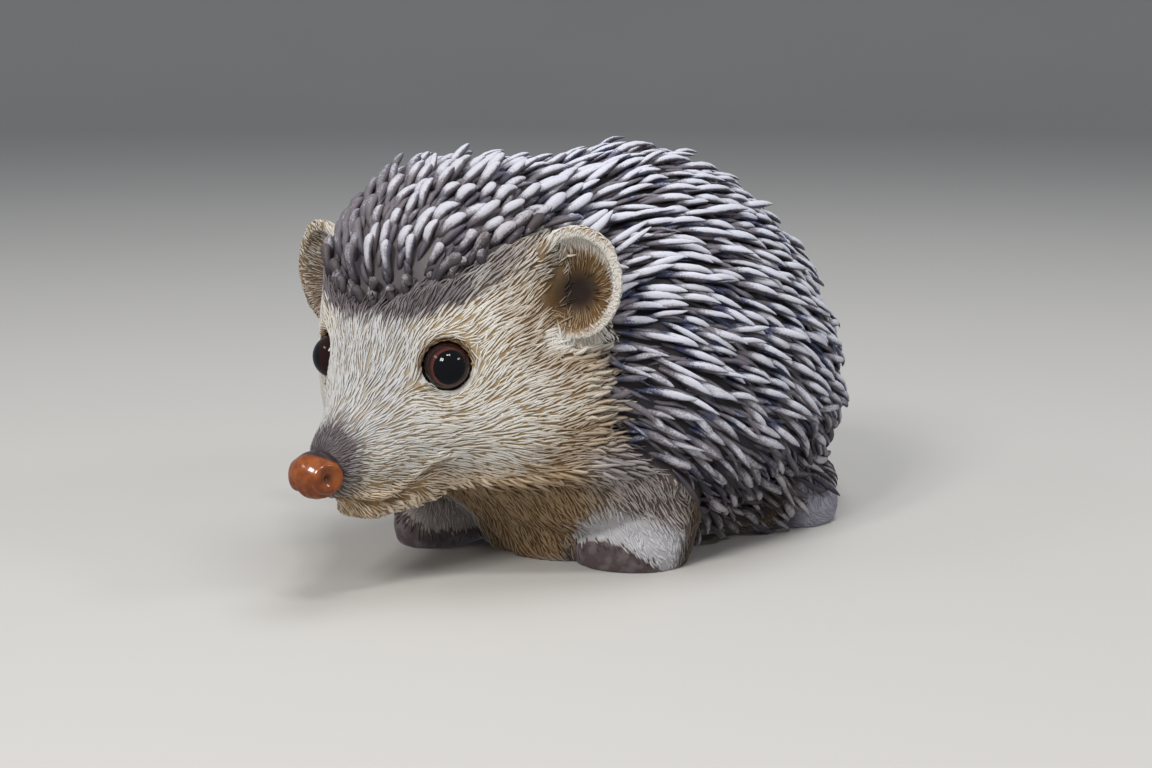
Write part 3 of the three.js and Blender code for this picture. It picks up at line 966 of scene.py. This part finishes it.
def fur_cut(points, lie, normals, rng, length, width, height, rise, vary=0.16):
    """Sizes in millimetres as a cut, each with a little variation, and bent to follow the lie of the fur."""
    count = len(points)
    length, width, height, rise = (np.broadcast_to(size, count) for size in (length, width, height, rise))
    ahead = fur_lie(points + lie * (0.7 * length * MM)[:, None], normals)
    curl = (ahead * np.cross(lie, normals)).sum(1).clip(-0.6, 0.6)
    turn = np.radians(rng.normal(0, 5, count))[:, None]
    lie = unit(lie * np.cos(turn) + np.cross(normals, lie) * np.sin(turn))
    return {
        "lie": lie,
        "length": length * (1 + vary * rng.normal(0, 1, count)).clip(0.5, 1.6) * MM,
        "width": width * (1 + 0.14 * rng.normal(0, 1, count)).clip(0.6, 1.4) * MM,
        "height": height * (1 + 0.14 * rng.normal(0, 1, count)).clip(0.6, 1.4) * MM,
        "rise": rise * (1 + 0.3 * rng.normal(0, 1, count)).clip(0.3, 1.8) * MM,
        "arch": 0.25 * height * MM,
        "sink": 0.3 * height * MM,
        "sway": (0.55 * length * curl + rng.normal(0, 0.25, count)) * MM,
        "wave": 0.28 * width * np.abs(rng.normal(0, 1, count)).clip(0, 2) * MM,
        "phase": rng.random(count),
    }


def fur_piece(name, tuft, surface, unwrap, wanted, sizes, rng, tries, pitch):
    """One piece of fur, which grows where wanted, in sizes given by the places and normals of its roots."""
    roots, normals, lie = fur_roots(surface, wanted, tries, pitch, rng)
    cut = fur_cut(roots, lie, normals, rng, **sizes(Place(roots), normals))
    return coat_piece(name, tuft, surface, unwrap, roots, normals, cut, rng)


def make_face_fur(surface, unwrap):
    """Carved strokes over each half of the face, smallest round nose and eyes."""
    rng = np.random.default_rng(23)
    stroke = Tuft("face_stroke", 4, FACE_STROKE)

    def wanted(at, normals):
        on_face = (at.spines() < 1.2) & (at.ahead > -40) & (at.jaw() < 4) & (at.on_ear() < 0.6)
        rim = 6.95 + 1.2 * ease(2, -3, at.up)
        return on_face & (at.ear() > 8.5) & (eye_gap(at) > rim) & (mouth_distance(at)[0] > 0.8)

    def fineness(at):
        nose = np.linalg.norm(at.points - from_head(*NOSE_TIP), axis=1) / MM
        forehead = 1 - 0.45 * ease(-12, 0, at.up) * ease(24, 12, at.out)
        return np.minimum(ease(6, 32, nose) * forehead, 0.35 + 0.65 * ease(8, 14, eye_gap(at)))

    def pitch(at):
        coarse = fineness(at)
        return 0.31 + 0.18 * coarse, 1.25 + 1.25 * coarse

    roots, normals, lie = fur_roots(surface, wanted, 280000, pitch, rng)
    # strokes that would reach into the hollow of an ear are left out
    clear = (Place(roots + lie * 3 * MM).ear() > 8.5) & (Place(roots + lie * 6 * MM).ear() > 8)
    roots, normals, lie = roots[clear], normals[clear], lie[clear]
    at = Place(roots)
    coarse = fineness(at)
    sizes = dict(length=2.8 + 3.8 * coarse, width=0.43 + 0.36 * coarse, height=0.3 + 0.32 * coarse)
    cut = fur_cut(roots, lie, normals, rng, rise=0.03 + 0.12 * coarse, **sizes)
    halves = {"fur_face_left": at.side >= 0, "fur_face_right": at.side < 0}
    return [
        coat_piece(name, stroke, surface, unwrap, roots[half], normals[half], chosen_cut(cut, half), rng)
        for name, half in halves.items()
    ]


def make_ruff(surface, unwrap):
    """Longer locks that break over the spines behind the cheeks and over the chest below the jaw."""
    rng = np.random.default_rng(31)
    lock = Tuft("lock", 6, LOCK)

    def wanted(at, normals):
        ruff = (np.abs(at.ruff() + 2.5) < 3.2) & (at.up > -33) & (at.up < 8) & (at.on_ear() < 0.3)
        jaw = (np.abs(at.jaw() + 2.0) < 2.6) & (at.ahead > -34) & (at.ahead < 16)
        return (ruff | jaw) & (at.out < 70)

    def sizes(at, normals):
        fine = ease(-12, 14, at.ahead)
        shape = dict(length=6.6 - 2.2 * fine, width=1.3 - 0.3 * fine, height=0.95 - 0.25 * fine)
        return dict(shape, rise=1.3 - 0.8 * fine, vary=0.3)

    return fur_piece("fur_ruff", lock, surface, unwrap, wanted, sizes, rng, tries=60000, pitch=(1.0, 2.6))


def make_body_fur(surface, unwrap):
    """Strokes that hang over chest, belly sides and the upper legs."""
    rng = np.random.default_rng(37)
    stroke = Tuft("body_stroke", 4, BODY_STROKE)

    def wanted(at, normals):
        marks = markings(at.points, normals)
        off_paws = (marks["pale"] < 0.5) & (marks["toe"] < 0.5)
        return (at.spines() < 0.8) & (at.jaw() > 0) & off_paws & (normals[:, 2] > -0.75)

    def sizes(at, normals):
        return dict(length=5.2, width=0.84, height=0.52, rise=0.12)

    return fur_piece("fur_body", stroke, surface, unwrap, wanted, sizes, rng, tries=140000, pitch=(0.52, 2.2))


def make_ear_fur(surface, unwrap):
    """Fine strokes that fan over each ear: from its hollow in front, from its root behind."""
    rng = np.random.default_rng(41)
    stroke = Tuft("ear_stroke", 4, EAR_STROKE)

    def wanted(at, normals):
        nearest = np.where(ear_front(at, normals) > 0.7, 4, 11)
        return (at.on_ear() > 0.1) & (at.ear() > nearest)

    def sizes(at, normals):
        rim = np.maximum(ease(9.5, 12.5, at.ear()), 1 - ear_front(at, normals))
        girth = dict(width=0.5 + 0.12 * rim, height=0.32 + 0.04 * rim)
        return dict(girth, length=4.4 - 1.7 * rim, rise=0.05 * (1 - rim))

    return fur_piece("fur_ears", stroke, surface, unwrap, wanted, sizes, rng, tries=100000, pitch=(0.33, 1.5))


def make_paw_fur(surface, unwrap):
    """Very small strokes over the smooth paws."""
    rng = np.random.default_rng(43)
    stroke = Tuft("paw_stroke", 4, PAW_STROKE)

    def wanted(at, normals):
        marks = markings(at.points, normals)
        return ((marks["pale"] > 0.5) | (marks["hind"] > 0.4)) & (normals[:, 2] > -0.5)

    def sizes(at, normals):
        return dict(length=3.4, width=0.62, height=0.24, rise=0.0)

    return fur_piece("fur_paws", stroke, surface, unwrap, wanted, sizes, rng, tries=70000, pitch=(0.42, 1.9))


# ==== Eyes and nose ====


def make_eye(side):
    """A set-in eye: a ball with a slight dome over its pupil, its pole along the gaze."""
    bpy.ops.object.select_all(action="DESELECT")
    bpy.ops.mesh.primitive_uv_sphere_add(
        segments=64,
        ring_count=48,
        radius=EYE_RADIUS,
        location=EYES[side] - gaze(side) * SET_BACK[side],
        rotation=Vector(gaze(side)).to_track_quat("Z", "Y").to_euler(),
    )
    eye = bpy.context.object
    eye.name = eye.data.name = "eyeball_" + side
    settle(eye)
    places = vertex_places(eye.data)
    offset = places - EYES[side] + gaze(side) * SET_BACK[side]
    facing = unit(offset) @ gaze(side)
    dome = 0.18 * MM * ease(math.cos(math.radians(58)), 1, facing)
    place_vertices(eye.data, places + gaze(side) * dome[:, None])
    store(eye.data, "facing", np.degrees(np.arccos(np.clip(facing, -1, 1))) / 90)
    # painted light on the red-brown ring: the near eye's ring is lit most towards the front, the far eye's is
    # in painted shade at the front and lit only towards the back
    forward = unit(offset) @ unit(AHEAD_AXIS - 0.3 * UP_AXIS)
    lit = 0.3 + 0.7 * ease(-0.3, 0.6, forward) if side == "left" else ease(0.1, -0.6, forward)
    store(eye.data, "painted_iris_light", lit)
    bpy.ops.object.shade_smooth()
    return eye


def make_nose():
    """A varnished ball with two comma nostrils, a cleft between them and wrinkles beneath."""
    low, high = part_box("nose")
    centre = np.array((low + high) / 2)
    bpy.ops.object.select_all(action="DESELECT")
    bpy.ops.mesh.primitive_uv_sphere_add(segments=128, ring_count=96, radius=1, location=(0, 0, 0))
    nose = bpy.context.object
    nose.name = nose.data.name = "nose_ball"
    ball = vertex_places(nose.data)
    side, ahead, up = ball.T
    out = np.abs(side)
    size = np.array([7.3, 6.9, 6.5])
    # the nose in the head's frame: side, ahead, up
    spot = ball * size
    wing_side = unit(np.array([0.95, 0.28, -0.05]))
    wing = np.degrees(np.arccos(np.clip(np.stack([out, ahead, up], 1) @ wing_side, -1, 1)))
    below = ease(0.25, -0.25, up + 0.4 * (ahead - 0.5))
    cleft = -0.5 * hump(0, 0.10, side) * ease(0.2, 0.8, ahead) * ease(0.5, -0.3, up)
    nostril = -2.4 * np.exp(-((wing / 19) ** 2))
    rim = 0.5 * hump(33, 9, wing)
    crease = -0.9 * hump(51, 6, wing) * below
    wrinkles = -0.16 * (0.5 + 0.5 * np.cos(side * 24)) * ease(-0.3, -0.85, up) * ease(-0.4, 0.2, ahead)
    shift = cleft + nostril + rim + crease + wrinkles
    spot = spot + unit(spot) * shift[:, None]
    places = centre + (spot[:, :1] * SIDE_AXIS + spot[:, 1:2] * AHEAD_AXIS + spot[:, 2:] * UP_AXIS) * MM
    place_vertices(nose.data, places)
    store(nose.data, "top", ease(0.2, 0.85, 0.8 * up - 0.5 * ahead))
    store(nose.data, "deep", 0.75 * np.exp(-((wing / 12) ** 2)))
    face_outward(nose)
    return nose


# ==== Finishes ====

CREAM = (0.68, 0.655, 0.61, 1)
EDGE_CREAM = (0.70, 0.64, 0.60, 1)
WORN_CREAM = (0.47, 0.40, 0.31, 1)
FROST = (0.52, 0.52, 0.525, 1)
FROST_GROOVE = (0.34, 0.315, 0.285, 1)
GOLD_CREAM = (0.78, 0.65, 0.50, 1)
GOLD_GROOVE = (0.38, 0.235, 0.10, 1)
LEG_BEIGE = (0.42, 0.375, 0.365, 1)
LEG_BROWN = (0.13, 0.095, 0.078, 1)
STRAW = (0.40, 0.295, 0.16, 1)
OCHRE = (0.31, 0.20, 0.095, 1)
DEEP_OCHRE = (0.15, 0.08, 0.028, 1)
PURPLE_BROWN = (0.060, 0.044, 0.048, 1)
GREY_CREAM = (0.158, 0.134, 0.142, 1)
# the dark brown of painted shade, in the ears' hollows and behind the forelegs
HOLLOW_SHADE_BROWN = (0.022, 0.012, 0.008, 1)
PAW_WHITE = (0.60, 0.595, 0.63, 1)
PAW_GREY = (0.42, 0.405, 0.42, 1)
TOE_BROWN = (0.092, 0.064, 0.066, 1)
TOE_LIGHT = (0.155, 0.120, 0.124, 1)
HIND_GREY = (0.38, 0.375, 0.45, 1)
GAP_BLACK = (0.032, 0.026, 0.029, 1)
GAP_BROWN = (0.058, 0.043, 0.045, 1)
SPINE_WHITE = (0.61, 0.615, 0.69, 1)
SPINE_LILAC = (0.165, 0.148, 0.172, 1)
# a painted blue sheen on the spines' sides
SPINE_BLUE_SHEEN = (0.054, 0.062, 0.125, 1)
SPINE_DARK = (0.052, 0.044, 0.051, 1)
SPINE_BROWN = (0.042, 0.030, 0.028, 1)
SPINE_WARM = (0.34, 0.295, 0.295, 1)
CROWN_GREY = (0.15, 0.130, 0.138, 1)
NOSE_ORANGE = (0.30, 0.082, 0.016, 1)
NOSE_DEEP = (0.19, 0.044, 0.009, 1)
NOSE_DARK = (0.028, 0.016, 0.018, 1)
PUPIL = (0.004, 0.004, 0.005, 1)
IRIS = (0.125, 0.036, 0.026, 1)
IRIS_DEEP = (0.018, 0.006, 0.005, 1)


class Board:
    """A material's or group's nodes, wired up by short calls that each return an output."""

    def __init__(self, tree):
        self.tree = tree

    def node(self, kind, **settings):
        new = self.tree.nodes.new("ShaderNode" + kind)
        for name, value in settings.items():
            setattr(new, name, value)
        return new

    def feed(self, socket, value):
        if isinstance(value, bpy.types.NodeSocket):
            self.tree.links.new(value, socket)
        elif value is not None:
            socket.default_value = value

    def mark(self, name, share=None):
        marking = self.node("Attribute", attribute_name=name).outputs["Fac"]
        return marking if share is None else self.times(marking, share)

    def maths(self, operation, *values, clamp=False):
        new = self.node("Math", operation=operation, use_clamp=clamp)
        for socket, value in zip(new.inputs, values):
            self.feed(socket, value)
        return new.outputs[0]

    def times(self, first, second):
        return self.maths("MULTIPLY", first, second)

    def plus(self, first, second):
        return self.maths("ADD", first, second)

    def swing(self, value, reach):
        """A value from 0 to 1, made to swing to both sides of nothing."""
        return self.times(self.plus(value, -0.5), reach)

    def ease(self, value, low, high):
        new = self.node("MapRange", interpolation_type="SMOOTHSTEP")
        for socket, fed in zip(new.inputs, (value, low, high, 0.0, 1.0)):
            self.feed(socket, fed)
        return new.outputs[0]

    def mix(self, share, first, second):
        new = self.node("Mix", data_type="RGBA")
        colours = [socket for socket in new.inputs if socket.type == "RGBA"]
        for socket, value in zip([new.inputs["Factor"]] + colours, (share, first, second)):
            self.feed(socket, value)
        return next(socket for socket in new.outputs if socket.type == "RGBA")

    def layers(self, base, *coats):
        """Colours laid over a base in turn, each by its own share."""
        for share, colour in coats:
            base = self.mix(share, base, colour)
        return base

    def noise(self, scale, detail=3.0, roughness=0.55, vector=None):
        new = self.node("TexNoise")
        new.inputs["Scale"].default_value = scale
        new.inputs["Detail"].default_value = detail
        new.inputs["Roughness"].default_value = roughness
        if vector is None:
            vector = self.node("TexCoord").outputs["Object"]
        self.feed(new.inputs["Vector"], vector)
        return new.outputs[0]

    def bump(self, height, strength, distance):
        new = self.node("Bump")
        new.inputs["Strength"].default_value = strength
        new.inputs["Distance"].default_value = distance
        self.feed(new.inputs["Height"], height)
        return new.outputs[0]

    def group(self, group, **values):
        new = self.node("Group", node_tree=group)
        for name, value in values.items():
            self.feed(new.inputs[name.replace("_", " ")], value)
        return new.outputs


def new_group(name, inputs, outputs):
    """An empty shader group with named sockets, and the board of its nodes."""
    group = bpy.data.node_groups.new(name, "ShaderNodeTree")
    for socket, kind in inputs.items():
        group.interface.new_socket(name=socket, in_out="INPUT", socket_type="NodeSocket" + kind)
    for socket, kind in outputs.items():
        group.interface.new_socket(name=socket, in_out="OUTPUT", socket_type="NodeSocket" + kind)
    board = Board(group)
    return group, board, group.nodes.new("NodeGroupInput")


def dry_brush_group():
    """Paint dragged over raised places: it takes on the crests and breaks up in specks below them."""
    inputs = {"Base": "Color", "Brush": "Color", "Reach": "Float", "Break": "Float", "Soft": "Float"}
    group, board, given = new_group("dry brush", inputs, {"Colour": "Color"})
    base, brush, reach, broken, soft = given.outputs[:5]
    specks, patches = board.noise(1900, 3, 0.6), board.noise(260, 2, 0.5)
    rough = board.plus(board.times(specks, 0.6), board.times(patches, 0.4))
    reach = board.plus(reach, board.swing(rough, broken))
    cover = board.ease(board.maths("DIVIDE", board.plus(reach, -0.5), soft), -0.5, 0.5)
    end = group.nodes.new("NodeGroupOutput")
    board.feed(end.inputs["Colour"], board.mix(cover, base, brush))
    return group


def casting_grain_group():
    """The fine unevenness of cast and brushed resin, as a height."""
    group, board, given = new_group("casting grain", {"Size": "Float"}, {"Height": "Float"})
    sized = board.node("VectorMath", operation="SCALE")
    board.feed(sized.inputs[0], board.node("TexCoord").outputs["Object"])
    board.feed(sized.inputs["Scale"], given.outputs["Size"])
    end = group.nodes.new("NodeGroupOutput")
    board.feed(end.inputs["Height"], board.noise(1.0, 4, 0.6, sized.outputs[0]))
    return group


def new_material(name, **finish):
    """A material with its shader's constant values set, and the board of its nodes."""
    material = bpy.data.materials.new(name)
    material.use_nodes = True
    shader = material.node_tree.nodes["Principled BSDF"]
    for socket, value in finish.items():
        shader.inputs[socket.replace("_", " ")].default_value = value
    return material, Board(material.node_tree), shader


def roughen(board, shader, grain, size, strength, depth):
    """Gives a finish the grain of the casting."""
    height = board.group(grain, Size=size)[0]
    board.feed(shader.inputs["Normal"], board.bump(height, strength, depth))


def coat_colours(board, crest, brush):
    """The painted colour of fur and skin, from the shared markings."""
    patches, wash, dusk_and_shade = board.noise(260, 2, 0.5), board.mark("wash"), board.mark("dusk_and_shade")
    groove = board.layers(
        STRAW,
        (board.ease(wash, 0.0, 0.5), OCHRE),
        (board.ease(wash, 0.35, 0.9), DEEP_OCHRE),
        (board.mark("gold", 0.6), GOLD_GROOVE),
        (board.mark("frost", 0.6), FROST_GROOVE),
        (board.mark("leg"), LEG_BROWN),
        (board.mark("rim", 0.75), EDGE_CREAM),
    )
    ridge = board.layers(
        CREAM,
        (board.times(board.ease(wash, 0.12, 0.7), 0.62), WORN_CREAM),
        (board.mark("gold"), GOLD_CREAM),
        (board.mark("frost"), FROST),
        (board.ease(wash, 0.55, 1.08), OCHRE),
        (board.mark("leg"), LEG_BEIGE),
    )
    reach = board.plus(board.plus(crest, board.times(wash, -0.15)), board.mark("rim", 0.45))
    reach = board.plus(reach, -0.12)
    strokes = board.group(brush, Base=groove, Brush=ridge, Reach=reach, Break=0.7, Soft=0.32)[0]
    reach = board.plus(crest, 0.1)
    pale = board.group(brush, Base=PAW_GREY, Brush=PAW_WHITE, Reach=reach, Break=0.6, Soft=0.9)[0]
    toes = board.mix(board.ease(patches, 0.42, 0.62), TOE_BROWN, TOE_LIGHT)
    ragged = board.plus(board.mark("toe"), board.swing(patches, 1.1))
    spared = board.times(board.times(crest, board.maths("SUBTRACT", 1.0, dusk_and_shade)), -0.8)
    return board.layers(
        strokes,
        (board.mark("pale"), pale),
        (board.ease(ragged, 0.3, 0.75), toes),
        (board.mark("hind", 0.8), HIND_GREY),
        # purple-brown where the dark wash and its painted shade lie, thinner on the crests
        (
            board.maths("MULTIPLY_ADD", dusk_and_shade, 1.18, spared, clamp=True),
            board.mix(board.ease(crest, 0.35, 1.0), PURPLE_BROWN, GREY_CREAM),
        ),
        # dark brown painted shade in the ears' hollows and low behind the forelegs
        (board.mark("hollow"), HOLLOW_SHADE_BROWN),
    )


def skin_material(brush, grain):
    """The skin between the tufts: the colours of the grooves, and near black under the spines."""
    material, board, shader = new_material("painted_skin", Roughness=0.5, Specular_IOR_Level=0.4)
    crest = board.plus(board.times(board.ease(board.noise(420, 3, 0.6), 0.4, 0.75), 0.4), 0.12)
    crest = board.maths("MAXIMUM", crest, board.mark("socket"))
    gap = board.layers(GAP_BLACK, (board.mark("warmth"), GAP_BROWN), (board.mark("crown", 0.8), CROWN_GREY))
    colour = board.mix(board.mark("spiny"), coat_colours(board, crest, brush), gap)
    board.feed(shader.inputs["Base Color"], colour)
    board.feed(shader.inputs["Roughness"], board.plus(board.mark("hollow", 0.4), 0.5))
    roughen(board, shader, grain, 900.0, 0.6, 0.25 * MM)
    return material


def fur_material(brush, grain):
    """Carved strokes: cream where the brush touched them, ochre down their sides."""
    material, board, shader = new_material("painted_fur", Roughness=0.42, Specular_IOR_Level=0.5)
    crest = board.plus(board.mark("crest"), board.swing(board.mark("lot"), 0.3))
    board.feed(shader.inputs["Base Color"], coat_colours(board, crest, brush))
    roughen(board, shader, grain, 1400.0, 0.45, 0.12 * MM)
    return material


def spine_material(brush, grain):
    """Spines: dark at root and sides, lilac with a painted blue sheen in patches up the sides, and white
    dragged over the tops.
    """
    material, board, shader = new_material("painted_spine", Roughness=0.55, Specular_IOR_Level=0.35)
    crest, along, lot = board.mark("crest"), board.mark("along"), board.mark("lot")
    bleach, warmth = board.mark("bleach"), board.mark("warmth")
    # lilac paint, with a painted blue sheen in patches
    lilac_and_blue_sheen = board.mix(board.ease(board.noise(120, 2, 0.5), 0.48, 0.62), SPINE_LILAC, SPINE_BLUE_SHEEN)
    side = board.layers(
        SPINE_DARK,
        (board.ease(board.plus(crest, board.times(along, 0.4)), 0.35, 0.95), lilac_and_blue_sheen),
        (board.mark("crown", 0.6), CROWN_GREY),
        (board.times(warmth, 0.8), SPINE_BROWN),
    )
    white = board.layers(
        SPINE_WHITE,
        (board.mark("crown", 0.25), SPINE_WARM),
        (board.times(warmth, 0.75), SPINE_WARM),
    )
    lengthwise = board.node("CombineXYZ")
    stretched = (board.times(along, 3.0), board.mark("around", 15.0), board.times(lot, 60.0))
    for socket, value in zip(lengthwise.inputs, stretched):
        board.feed(socket, value)
    streaks = board.noise(1.0, 3, 0.6, lengthwise.outputs[0])
    reach = board.times(board.ease(crest, 0.5, 1.04), board.ease(along, 0.04, 0.55))
    reach = board.times(reach, board.plus(board.times(bleach, 0.72), 0.24))
    reach = board.plus(reach, board.swing(lot, board.plus(board.times(warmth, 0.4), 0.24)))
    reach = board.plus(reach, board.swing(streaks, 0.55))
    colour = board.group(brush, Base=side, Brush=white, Reach=reach, Break=1.3, Soft=0.5)[0]
    board.feed(shader.inputs["Base Color"], colour)
    roughen(board, shader, grain, 800.0, 0.5, 0.2 * MM)
    return material


def eye_material():
    """A black pupil and a red-brown ring under clear gloss, the ring with its painted light and shade."""
    material, board, shader = new_material("glass_eye", Roughness=0.03, Specular_IOR_Level=0.3)
    facing = board.mark("facing", 90.0)
    edge = board.plus(facing, board.times(board.noise(900, 3, 0.6), 8.0))
    # where the ring's painted light is low it turns deep red-brown
    iris = board.mix(board.mark("painted_iris_light"), IRIS_DEEP, board.mix(board.ease(edge, 48.0, 66.0), IRIS, IRIS_DEEP))
    colour = board.mix(board.ease(facing, 46.0, 48.5), PUPIL, iris)
    board.feed(shader.inputs["Base Color"], board.mix(board.ease(facing, 70.0, 82.0), colour, PUPIL))
    return material


def nose_material(grain):
    """Orange-brown varnish in clouds over a deeper brown, dark over the top and in the nostrils."""
    material, board, shader = new_material(
        "nose_varnish", Roughness=0.25, Specular_IOR_Level=0.35, Coat_Weight=0.6, Coat_Roughness=0.03
    )
    cloud = board.noise(330, 3, 0.55)
    top = board.plus(board.mark("top"), board.swing(cloud, 0.5))
    colour = board.layers(
        NOSE_DEEP,
        (board.ease(cloud, 0.35, 0.68), NOSE_ORANGE),
        (board.ease(top, 0.3, 0.7), NOSE_DARK),
        (board.mark("deep"), NOSE_DARK),
    )
    board.feed(shader.inputs["Base Color"], colour)
    roughen(board, shader, grain, 500.0, 0.25, 0.15 * MM)
    return material


# ==== The stage ====

FLOOR_RADIUS = 2.6
BEND_RADIUS = 0.9  # of the curve from the floor up into the wall
BEND_STEPS = 8
FLOOR_TONES = ((0.53, 0.515, 0.49, 1), (0.56, 0.545, 0.52, 1))
AIM = (0.02, -0.06, 0.06)  # the point that the lights face
CAMERA_PLACE = (0.3756, -0.3687, 0.150)
CAMERA_DIP = 11.06  # degrees below level
CAMERA_TURN = 45
LENS = 55


def make_floor():
    """A pale floor that curves up into a wall all round, far off."""
    bpy.ops.object.select_all(action="DESELECT")
    bpy.ops.mesh.primitive_circle_add(vertices=96, radius=FLOOR_RADIUS, fill_type="NGON", location=(0, 0, 0))
    floor = bpy.context.object
    floor.name = "floor"
    bpy.ops.object.mode_set(mode="EDIT")
    for step in range(BEND_STEPS):
        last, turn = (math.radians(90 * edge / BEND_STEPS) for edge in (step, step + 1))
        rise = BEND_RADIUS * (math.cos(last) - math.cos(turn))
        radius, wider = (FLOOR_RADIUS + BEND_RADIUS * math.sin(angle) for angle in (last, turn))
        bpy.ops.mesh.select_all(action="DESELECT")
        bpy.ops.mesh.select_mode(type="EDGE")
        bpy.ops.mesh.select_non_manifold()
        bpy.ops.mesh.extrude_edges_move(TRANSFORM_OT_translate={"value": (0, 0, rise)})
        size = wider / radius
        bpy.ops.transform.resize(value=(size, size, 1), center_override=(0, 0, 0))
    bpy.ops.object.mode_set(mode="OBJECT")
    face_outward(floor, inside=True)
    material, board, shader = new_material("floor_paper", Roughness=0.7, Specular_IOR_Level=0.2)
    board.feed(shader.inputs["Base Color"], board.mix(board.noise(3.0, 2, 0.5), *FLOOR_TONES))
    floor.data.materials.append(material)
    floor.visible_glossy = False


def area_light(name, place, size, power, colour, seen=True):
    """A soft square light; one that isn't seen leaves no highlight."""
    light = bpy.data.lights.new(name, "AREA")
    light.shape = "SQUARE"
    light.size = size
    light.energy = power
    light.color = colour
    lamp = bpy.data.objects.new(name, light)
    lamp.location = place
    lamp.rotation_euler = (Vector(AIM) - Vector(place)).to_track_quat("-Z", "Y").to_euler()
    lamp.visible_glossy = seen
    bpy.context.collection.objects.link(lamp)


def make_lights():
    """Panes of three windows, soft light from above, and a pale surround."""
    windows = {
        "front": ((0.24, -1.02, 0.88), 2.45, (-1, 1)),
        "left": ((-0.54, -0.96, 0.9), 0.6, (0,)),
        "high": ((0.47, -0.34, 1.25), 2.2, (0,)),
        "side": ((1.03, 0.53, 0.82), 1.3, (0,)),
    }
    for name, (place, power, rows) in windows.items():
        along = unit(np.cross(np.array(AIM) - place, (0, 0, 1)))
        for column in (-1, 1):
            for row in rows:
                pane = np.array(place) + along * 0.10 * column + np.array((0, 0, 0.11)) * row
                area_light(f"{name}_{column}_{row}", tuple(pane), 0.15, power, (1, 0.985, 0.955))
    area_light("ceiling", (0.1, 0.2, 1.3), 0.7, 6.5, (0.95, 0.97, 1), seen=False)
    world = bpy.data.worlds.new("surround")
    bpy.context.scene.world = world
    world.use_nodes = True
    background = world.node_tree.nodes["Background"].inputs
    background["Color"].default_value = (0.80, 0.86, 0.95, 1)
    background["Strength"].default_value = 0.28
    bpy.context.scene.view_settings.view_transform = "Standard"


def make_camera():
    """The camera stands off the animal's left front, a little above it."""
    data = bpy.data.cameras.new("camera")
    data.lens = LENS
    data.sensor_width = 36
    data.clip_start = 0.02
    camera = bpy.data.objects.new("camera", data)
    camera.location = CAMERA_PLACE
    camera.rotation_euler = (math.radians(90 - CAMERA_DIP), 0, math.radians(CAMERA_TURN))
    bpy.context.collection.objects.link(camera)
    bpy.context.scene.camera = camera


# ==== Putting it together ====


def dress(piece, material, nodes=()):
    """Gives a piece its finish and what it stands for."""
    piece.data.materials.clear()
    piece.data.materials.append(material)
    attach(piece, "root")
    if nodes:
        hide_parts(*nodes)


make_camera()
brush, grain = dry_brush_group(), casting_grain_group()
skin = make_skin()
store_markings(skin.data, vertex_normals(skin.data))
surface, unwrap = Surface(skin.data), Unwrap(skin)

fur_finish = fur_material(brush, grain)
spine_finish = spine_material(brush, grain)
for piece in make_spines(surface, unwrap) + [make_undercoat(surface, unwrap)]:
    dress(piece, spine_finish)
for piece in make_face_fur(surface, unwrap):
    dress(piece, fur_finish)
for make in (make_ruff, make_body_fur, make_ear_fur):
    dress(make(surface, unwrap), fur_finish)
dress(make_paw_fur(surface, unwrap), fur_finish)
dress(skin, skin_material(brush, grain), FLESH)
eye_finish = eye_material()
for side in EYES:
    dress(make_eye(side), eye_finish, ["eye_" + side])
dress(make_nose(), nose_material(grain), ["nose"])

make_floor()
make_lights()
